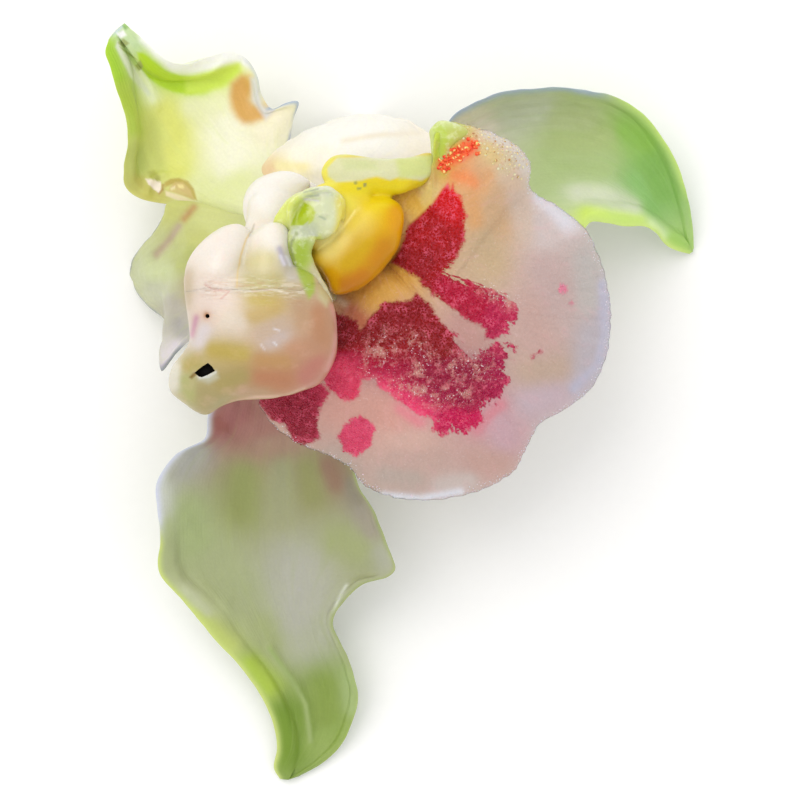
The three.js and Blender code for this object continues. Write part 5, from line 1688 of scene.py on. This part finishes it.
def ovary_and_stalk():
    """The ribbed ovary and its cut stalk, swept along their path."""
    steps = 110
    line = curve_through(STALK_PATH, steps)
    mesh = bpy.data.meshes.new("stalk_line")
    mesh.from_pydata(((line + SETTLE) * MM).tolist(), [(i, i + 1) for i in range(steps)], [])
    source = placed("stalk_line", mesh)
    girth = np.interp(np.linspace(0, 1, steps + 1), np.linspace(0, 1, len(STALK_RADII)), STALK_RADII)
    store(source, "girth", girth * MM)
    tree = Tree("ribbed_stalk")
    ribs = tree.size("Ribs")
    rib_depth = tree.size("Rib depth")
    sides = tree.size("Sides", "Int")
    line = tree.node("GeometryNodeMeshToCurve", sockets={"Mesh": tree.entry.outputs[0]})
    circle = tree.node("GeometryNodeCurvePrimitiveCircle", sockets={"Resolution": sides, "Radius": 1.0})
    turn = tree.math("MULTIPLY", tree.node("GeometryNodeSplineParameter"), math.tau)
    wave = tree.math("COSINE", tree.math("MULTIPLY", turn, ribs))
    growth = tree.math("ADD", tree.math("MULTIPLY", wave, rib_depth), 1.0)
    position = tree.node("GeometryNodeInputPosition")
    grown_out = tree.node("ShaderNodeVectorMath", {"operation": "SCALE"}, {0: position, "Scale": growth})
    profile = tree.node("GeometryNodeSetPosition", sockets={"Geometry": circle, "Position": grown_out})
    girth = tree.node("GeometryNodeInputNamedAttribute", {"data_type": "FLOAT"}, {"Name": "girth"})
    swept = tree.node(
        "GeometryNodeCurveToMesh",
        sockets={"Curve": line, "Profile Curve": profile, "Scale": girth, "Fill Caps": True},
    )
    tree.end(swept, stalk_finish())
    sizes = {"Ribs": float(STALK_RIBS), "Rib depth": STALK_RIB_DEPTH / 2, "Sides": 96}
    piece = grown("ovary_and_stalk_skin", source, tree, sizes)
    bpy.data.objects.remove(source, do_unlink=True)
    piece.data.shade_smooth()
    entered(piece, "ovary_and_stalk")


def tepal_finish(node, length):
    """Waxy petal tissue: faint veins along the blade, soft mottling and a greener back."""
    finish = Finish(
        node + "_finish",
        Roughness=0.42, Subsurface_Weight=0.25, Subsurface_Scale=1.2 * MM, Specular_IOR_Level=0.4,
    )
    finish.shader.inputs["Subsurface Radius"].default_value = (0.9, 1.0, 0.45)
    tint = finish.kept("tint", "Color")
    along = finish.kept("along") * (length * 0.09)
    across = finish.kept("across")
    lanes = finish.node("CombineXYZ", sockets={0: across * 9.0, 1: along, 2: 0.0})
    streaks = finish.node("TexNoise", sockets={"Vector": lanes, "Scale": 1.0, "Detail": 3.0})
    fine_lanes = finish.node("CombineXYZ", sockets={0: across * 34.0, 1: along * 1.5, 2: 3.0})
    veins = finish.node("TexNoise", sockets={"Vector": fine_lanes, "Scale": 1.0, "Detail": 2.0})
    blotches = finish.noise(3.4, detail=2.0)
    speckle = finish.cells(0.34)
    level = 0.95 + 0.06 * streaks + 0.03 * veins + 0.05 * blotches - 0.05 * speckle
    fresh = finish.shaded(tint, level)
    flushed = finish.mix(finish.mask(streaks, 0.5, 0.75) * 0.2, fresh, FLUSHES[node])
    back = finish.mix(0.4, finish.shaded(tint, 0.86 + 0.2 * veins), BACKS[node])
    finish.set("Base Color", finish.mix(finish.kept("top"), back, flushed))
    finish.set("Roughness", 0.38 + 0.14 * finish.noise(0.9, detail=2.0))
    soft = finish.relief(veins, 0.1, 0.4)
    waved = finish.relief(blotches, 0.4, 0.3, below=soft)
    finish.set("Normal", finish.relief(speckle, 0.04, 0.3, below=waved))
    return finish.material


def lip_finish():
    """The lip's tissue: rosy veined ground, a velvety crimson stain, worn and granular places."""
    finish = Finish(
        "lip_finish",
        Roughness=0.5, Subsurface_Weight=0.2, Subsurface_Scale=1.0 * MM, Specular_IOR_Level=0.2,
    )
    finish.shader.inputs["Subsurface Radius"].default_value = (1.0, 0.7, 0.6)
    tint = finish.kept("tint", "Color")
    fan = finish.kept("fan", "Vector")
    rays = finish.node("TexNoise", sockets={"Vector": fan, "Scale": 1.9, "Detail": 5.0, "Roughness": 0.6})
    fine_rays = finish.node("TexNoise", sockets={"Vector": fan, "Scale": 6.0, "Detail": 3.0})
    grain = finish.noise(0.3, roughness=0.65)
    clumps = finish.noise(1.1, roughness=0.6)
    cells = finish.cells(0.3)
    ground = finish.shaded(tint, 0.9 + 0.1 * rays + 0.08 * fine_rays + 0.06 * clumps - 0.08 * cells)
    rosy = finish.mix(finish.mask(rays, 0.52, 0.72) * 0.16, ground, (214, 160, 168))
    # The stain's edge is torn by grain, and more along its rays.
    torn = ((grain - 0.5) * 0.8 + (clumps - 0.5) * 1.0) * (1.0 - 0.85 * finish.kept("crisp"))
    rayed = finish.kept("fray") * ((rays - 0.5) * 4.0 + (fine_rays - 0.5) * 2.4)
    cover = finish.mask(finish.kept("depth") + torn + rayed, -0.22, 0.28)
    crimson = finish.shaded(finish.kept("stain", "Color"), 0.66 + 0.3 * grain + 0.6 * (clumps - 0.2))
    rose_dots = finish.mask(cells, 0.3, 0.5) * (0.12 + 0.5 * finish.mask(clumps, 0.45, 0.7))
    dotted = finish.mix(rose_dots, crimson, (226, 104, 132))
    # Worn places show beige, grey-violet and a few painted highlights.
    bare = finish.kept("worn") * finish.mask(clumps + 0.3 * grain, 0.54, 0.8)
    worn = finish.mix(bare * 0.66, dotted, (200, 150, 134))
    greyed = finish.mix(finish.kept("worn") * finish.mask(grain, 0.54, 0.7) * 0.4, worn, (176, 140, 172))
    stained = finish.mix(cover, rosy, greyed)
    red_bed = finish.mix(finish.kept("granular") * 0.8, stained, (240, 92, 50))
    brown = finish.mask(finish.noise(0.42, detail=2.0, roughness=0.7), 0.56, 0.66)
    flecked = finish.mix(brown * finish.kept("warty") * 0.5, red_bed, (176, 130, 84))
    # Painted highlights: tiny wet cells glint white here and there, most of all in the worn places.
    sparkle = finish.mask(finish.noise(0.26, detail=1.0), 0.64, 0.7)
    glint = sparkle * (finish.kept("worn") * 0.8 + 0.04)
    # Painted highlights: faint pale specks stand for glints scattered outside the stain.
    scattered = finish.mask(finish.noise(0.5, detail=2.0, roughness=0.7), 0.66, 0.7)
    glint_specked = finish.mix(scattered * (1.0 - cover) * 0.1, flecked, (246, 238, 244))
    top = finish.mix(glint * 0.8, glint_specked, (250, 244, 250))
    back = finish.mix(0.55, finish.shaded(tint, 0.85 + 0.2 * rays), (212, 190, 170))
    finish.set("Base Color", finish.mix(finish.kept("top"), back, top))
    finish.set("Roughness", 0.5 + 0.2 * cover - 0.25 * glint)
    pleated = finish.relief(rays, 0.35, 0.4)
    beaded = finish.relief(1.0 - cells, 0.09, 0.5, below=pleated)
    finish.set("Normal", finish.relief(grain * (0.35 + cover), 0.16, 0.6, below=beaded))
    return finish.material


def grain_finish():
    """The tiny grains on the stain: crimson, here and there rose or nearly clear."""
    finish = Finish(
        "grain_finish",
        Roughness=0.3, Subsurface_Weight=0.3, Subsurface_Scale=0.3 * MM, Specular_IOR_Level=0.25,
    )
    clumps = finish.noise(1.1, roughness=0.6)
    patches = finish.noise(0.7, detail=2.0)
    each = finish.noise(0.26, detail=1.0)
    body = finish.shaded(finish.kept("stain", "Color"), 0.5 + 0.4 * each + 0.6 * patches)
    rose = finish.mix(finish.mask(each, 0.6, 0.7) * 0.35, body, (236, 124, 144))
    bare = finish.kept("worn") * finish.mask(clumps, 0.5, 0.68)
    finish.set("Base Color", finish.mix(bare * 0.8, rose, (222, 186, 172)))
    return finish.material


def orange_grain_finish():
    """Coarse grains, scarlet to orange with a few yellow ones."""
    finish = Finish(
        "orange_grain_finish",
        Roughness=0.25, Subsurface_Weight=0.3, Subsurface_Scale=0.4 * MM, Specular_IOR_Level=0.4,
    )
    each = finish.noise(0.5, detail=1.0)
    warm = finish.mix(finish.mask(each, 0.36, 0.56), (236, 62, 34), (250, 112, 60))
    finish.set("Base Color", finish.mix(finish.mask(each, 0.58, 0.64), warm, (250, 216, 130)))
    return finish.material


def wart_finish():
    """Small warts: cream, yellow and here and there brown."""
    finish = Finish("wart_finish", Roughness=0.3, Subsurface_Weight=0.3, Subsurface_Scale=0.4 * MM)
    each = finish.noise(0.6, detail=1.0)
    pale = finish.mix(finish.mask(each, 0.4, 0.6), (224, 200, 128), (232, 218, 184))
    finish.set("Base Color", finish.mix(finish.mask(each, 0.44, 0.36), pale, (186, 134, 84)))
    return finish.material


def fuzz_finish():
    """The pale lilac down along the lip's free rim."""
    finish = Finish("fuzz_finish", Roughness=0.4, Subsurface_Weight=0.4, Subsurface_Scale=0.3 * MM)
    each = finish.noise(0.4, detail=2.0)
    finish.set("Base Color", finish.mix(each, (206, 200, 218), (244, 240, 246)))
    return finish.material


def waxy_finish(node):
    """Firm waxy flesh: near-white or peach, faintly blotched, with fine creases in its folds."""
    finish = Finish(
        node + "_finish",
        Roughness=0.36, Subsurface_Weight=0.3, Subsurface_Scale=1.4 * MM, Coat_Roughness=0.25,
    )
    finish.shader.inputs["Subsurface Radius"].default_value = (1.0, 0.75, 0.5)
    tint = finish.kept("tint", "Color")
    blotches = finish.noise(2.6)
    fine = finish.noise(0.5, detail=4.0, roughness=0.6)
    cells = finish.cells(0.26)
    body = finish.shaded(tint, 0.95 + 0.07 * blotches + 0.05 * fine - 0.05 * cells)
    blush = finish.mix(finish.mask(blotches, 0.52, 0.72) * 0.14, body, (236, 190, 176))
    # Fine folds of the seam: tan furrows of painted shade between pale crests of painted highlight.
    lines = finish.node("Mapping", sockets={"Vector": finish.place(), "Scale": (0.3, 1.5, 0.6)})
    folds = finish.noise(0.5, roughness=0.6, where=lines)
    seam = finish.kept("seam")
    furrow_shade = finish.mix(finish.mask(folds, 0.53, 0.63) * seam * 0.35, blush, (196, 148, 112))
    crest_highlight = finish.mix(finish.mask(folds, 0.47, 0.38) * seam * 0.3, furrow_shade, (248, 238, 224))
    finish.set("Base Color", crest_highlight)
    finish.set("Roughness", 0.3 + 0.16 * fine)
    finish.set("Coat Weight", 0.16 + 0.14 * blotches)
    place = finish.place()
    squeezed = finish.node("Mapping", sockets={"Vector": place, "Scale": (0.35, 1.6, 1.0)})
    creases = finish.noise(1.3, detail=4.0, roughness=0.6, where=squeezed)
    softly = finish.relief(creases, 0.22, 0.35)
    folded = finish.relief(folds * seam, 0.3, 0.6, below=softly)
    finish.set("Normal", finish.relief(cells, 0.04, 0.3, below=folded))
    return finish.material


def grained(finish, size, dark, light, depth, strength):
    """A finish of one fine grain, with painted shade darkening its hollows."""
    fine = finish.noise(size)
    finish.set("Base Color", finish.mix(fine, dark, light))
    finish.set("Normal", finish.relief(fine, depth, strength))
    return finish.material


def lining_finish():
    """The cap's pale inner lining."""
    finish = Finish("lining_finish", Roughness=0.5, Subsurface_Weight=0.2, Subsurface_Scale=0.8 * MM)
    return grained(finish, 0.7, (214, 190, 150), (238, 222, 190), 0.1, 0.4)


def opening_shade_finish():
    """Painted shade: near-black walls of the slit and the pore, whose insides lie in shade."""
    finish = Finish("opening_shade_finish", Roughness=0.6, Specular_IOR_Level=0.2)
    return grained(finish, 0.4, (8, 7, 6), (30, 22, 14), 0.08, 0.5)


def pollen_finish():
    """Waxy yellow pollen masses."""
    finish = Finish("pollen_finish", Subsurface_Weight=0.3, Subsurface_Scale=0.5 * MM, Coat_Roughness=0.15)
    grain = finish.cells(0.12)
    blotches = finish.noise(0.6)
    body = finish.shaded(finish.mix(blotches, (224, 172, 34), (242, 206, 74)), 1.02 - 0.2 * grain)
    finish.set("Base Color", body)
    finish.set("Roughness", 0.22 + 0.16 * blotches)
    finish.set("Coat Weight", 0.3 + 0.2 * blotches)
    finish.set("Normal", finish.relief(grain, 0.03, 0.5))
    return finish.material


def pad_finish():
    """The wet cream pad under the pollen."""
    finish = Finish("pad_finish", Subsurface_Weight=0.35, Subsurface_Scale=0.5 * MM, Coat_Roughness=0.08)
    blotches = finish.noise(0.5)
    finish.set("Base Color", finish.mix(blotches, (226, 206, 160), (248, 240, 216)))
    finish.set("Roughness", 0.12 + 0.16 * blotches)
    finish.set("Coat Weight", 0.5 + 0.3 * blotches)
    finish.set("Normal", finish.relief(blotches, 0.08, 0.4))
    return finish.material


def keel_finish():
    """Glossy fleshy yellow, a little clear, with faint streaks and a bloom of fine cells."""
    finish = Finish(
        "keel_finish",
        Subsurface_Weight=0.25, Subsurface_Scale=0.9 * MM, Coat_Roughness=0.2, Specular_IOR_Level=0.2,
    )
    finish.shader.inputs["Subsurface Radius"].default_value = (1.0, 0.7, 0.2)
    tint = finish.kept("tint", "Color")
    blotches = finish.noise(1.9)
    fine = finish.noise(0.35)
    cells = finish.cells(0.22)
    finish.set("Base Color", finish.shaded(tint, 0.94 + 0.1 * blotches + 0.06 * fine - 0.06 * cells))
    finish.set("Roughness", 0.24 + 0.14 * fine)
    finish.set("Coat Weight", 0.04 + 0.1 * blotches)
    waves = finish.relief(blotches, 0.3, 0.2)
    finish.set("Normal", finish.relief(cells, 0.03, 0.3, below=waves))
    return finish.material


def clear_finish(name):
    """Half-clear lime tissue with wrinkles, paler and lighter where the wrinkles rise."""
    finish = Finish(
        name + "_finish",
        Subsurface_Weight=0.4, Subsurface_Scale=1.4 * MM, Coat_Roughness=0.2,
    )
    finish.shader.inputs["Subsurface Radius"].default_value = (0.8, 1.0, 0.35)
    tint = finish.kept("tint", "Color")
    wrinkles = finish.noise(0.9, detail=4.0, roughness=0.6)
    fine = finish.noise(0.28)
    pale = finish.mix(finish.mask(wrinkles, 0.5, 0.7) * 0.25, tint, (244, 246, 226))
    finish.set("Base Color", finish.shaded(pale, 0.93 + 0.1 * wrinkles + 0.06 * fine))
    finish.set("Roughness", 0.24 + 0.18 * fine)
    finish.set("Coat Weight", 0.25 + 0.2 * wrinkles)
    finish.set("Normal", finish.relief(wrinkles, 0.3, 0.35))
    return finish.material


def stalk_finish():
    """Green stalk, blotched, with tiny pale lenticels."""
    finish = Finish("stalk_finish", Subsurface_Weight=0.15, Subsurface_Scale=0.8 * MM, Roughness=0.45)
    blotches = finish.noise(2.2, detail=4.0)
    fine = finish.noise(0.4, detail=4.0, roughness=0.65)
    pores = finish.cells(0.9)
    green = finish.mix(blotches, (132, 152, 74), (176, 190, 116))
    dotted = finish.mix(finish.mask(pores, 0.16, 0.08) * 0.4, green, (206, 208, 160))
    finish.set("Base Color", finish.shaded(dotted, 0.9 + 0.2 * fine))
    finish.set("Roughness", 0.38 + 0.2 * fine)
    finish.set("Normal", finish.relief(fine, 0.12, 0.4))
    return finish.material


def floor_finish():
    """A plain pale floor with the faintest tooth."""
    finish = Finish("floor_finish", Roughness=0.8, Specular_IOR_Level=0.1)
    return grained(finish, 1.2, (252, 252, 252), (255, 255, 255), 0.04, 0.2)


def floor():
    """A wide pale floor under the flower."""
    half = FLOOR_HALF_WIDTH
    corners = [(-half, -half, 0), (half, -half, 0), (half, half, 0), (-half, half, 0)]
    mesh = bpy.data.meshes.new("floor")
    mesh.from_pydata(corners, [], [(0, 1, 2, 3)])
    mesh.materials.append(floor_finish())
    placed("floor", mesh)


def key_lamp():
    """A square studio lamp aimed at the flower."""
    light = bpy.data.lights.new("key_lamp", "AREA")
    light.size = KEY_LAMP["width"]
    light.energy = KEY_LAMP["watts"]
    light.color = tone(KEY_LAMP["shades"])
    lamp = placed("key_lamp", light)
    lamp.location = KEY_LAMP["place"]
    towards = Vector(KEY_LAMP["target"]) - Vector(KEY_LAMP["place"])
    lamp.rotation_euler = towards.to_track_quat("-Z", "Y").to_euler()


def studio():
    """Even white surroundings with one soft key lamp."""
    world = bpy.data.worlds.new("studio")
    world.use_nodes = True
    background = world.node_tree.nodes["Background"]
    background.inputs["Color"].default_value = (1, 1, 1, 1)
    background.inputs["Strength"].default_value = WORLD_STRENGTH
    bpy.context.scene.world = world
    key_lamp()
    bpy.context.scene.view_settings.view_transform = "Standard"


def camera():
    """Looks straight down on the flower, with the longer way of the flower up the picture."""
    lens = bpy.data.cameras.new("camera")
    lens.lens = CAMERA_LENS
    lens.sensor_width = CAMERA_SENSOR
    lens.clip_start = 0.01
    lens.clip_end = 10
    eye = placed("camera", lens)
    eye.location = (SETTLE[0] * MM, SETTLE[1] * MM, CAMERA_HEIGHT * MM)
    bpy.context.scene.camera = eye


def flower():
    """All the pieces of the flower."""
    for seed, (node, parts) in enumerate(TEPALS.items(), start=11):
        tepal(node, *parts, seed=seed)
    blade = lip_blade()
    lip_grains(blade)
    keels()
    near_lobe()
    far_lobe_hem()
    whole = head()
    column_body(whole)
    anther_cap(whole)
    for node in POLLINIA:
        pollinium(node)
    viscidium()
    ovary_and_stalk()


flower()
floor()
studio()
camera()
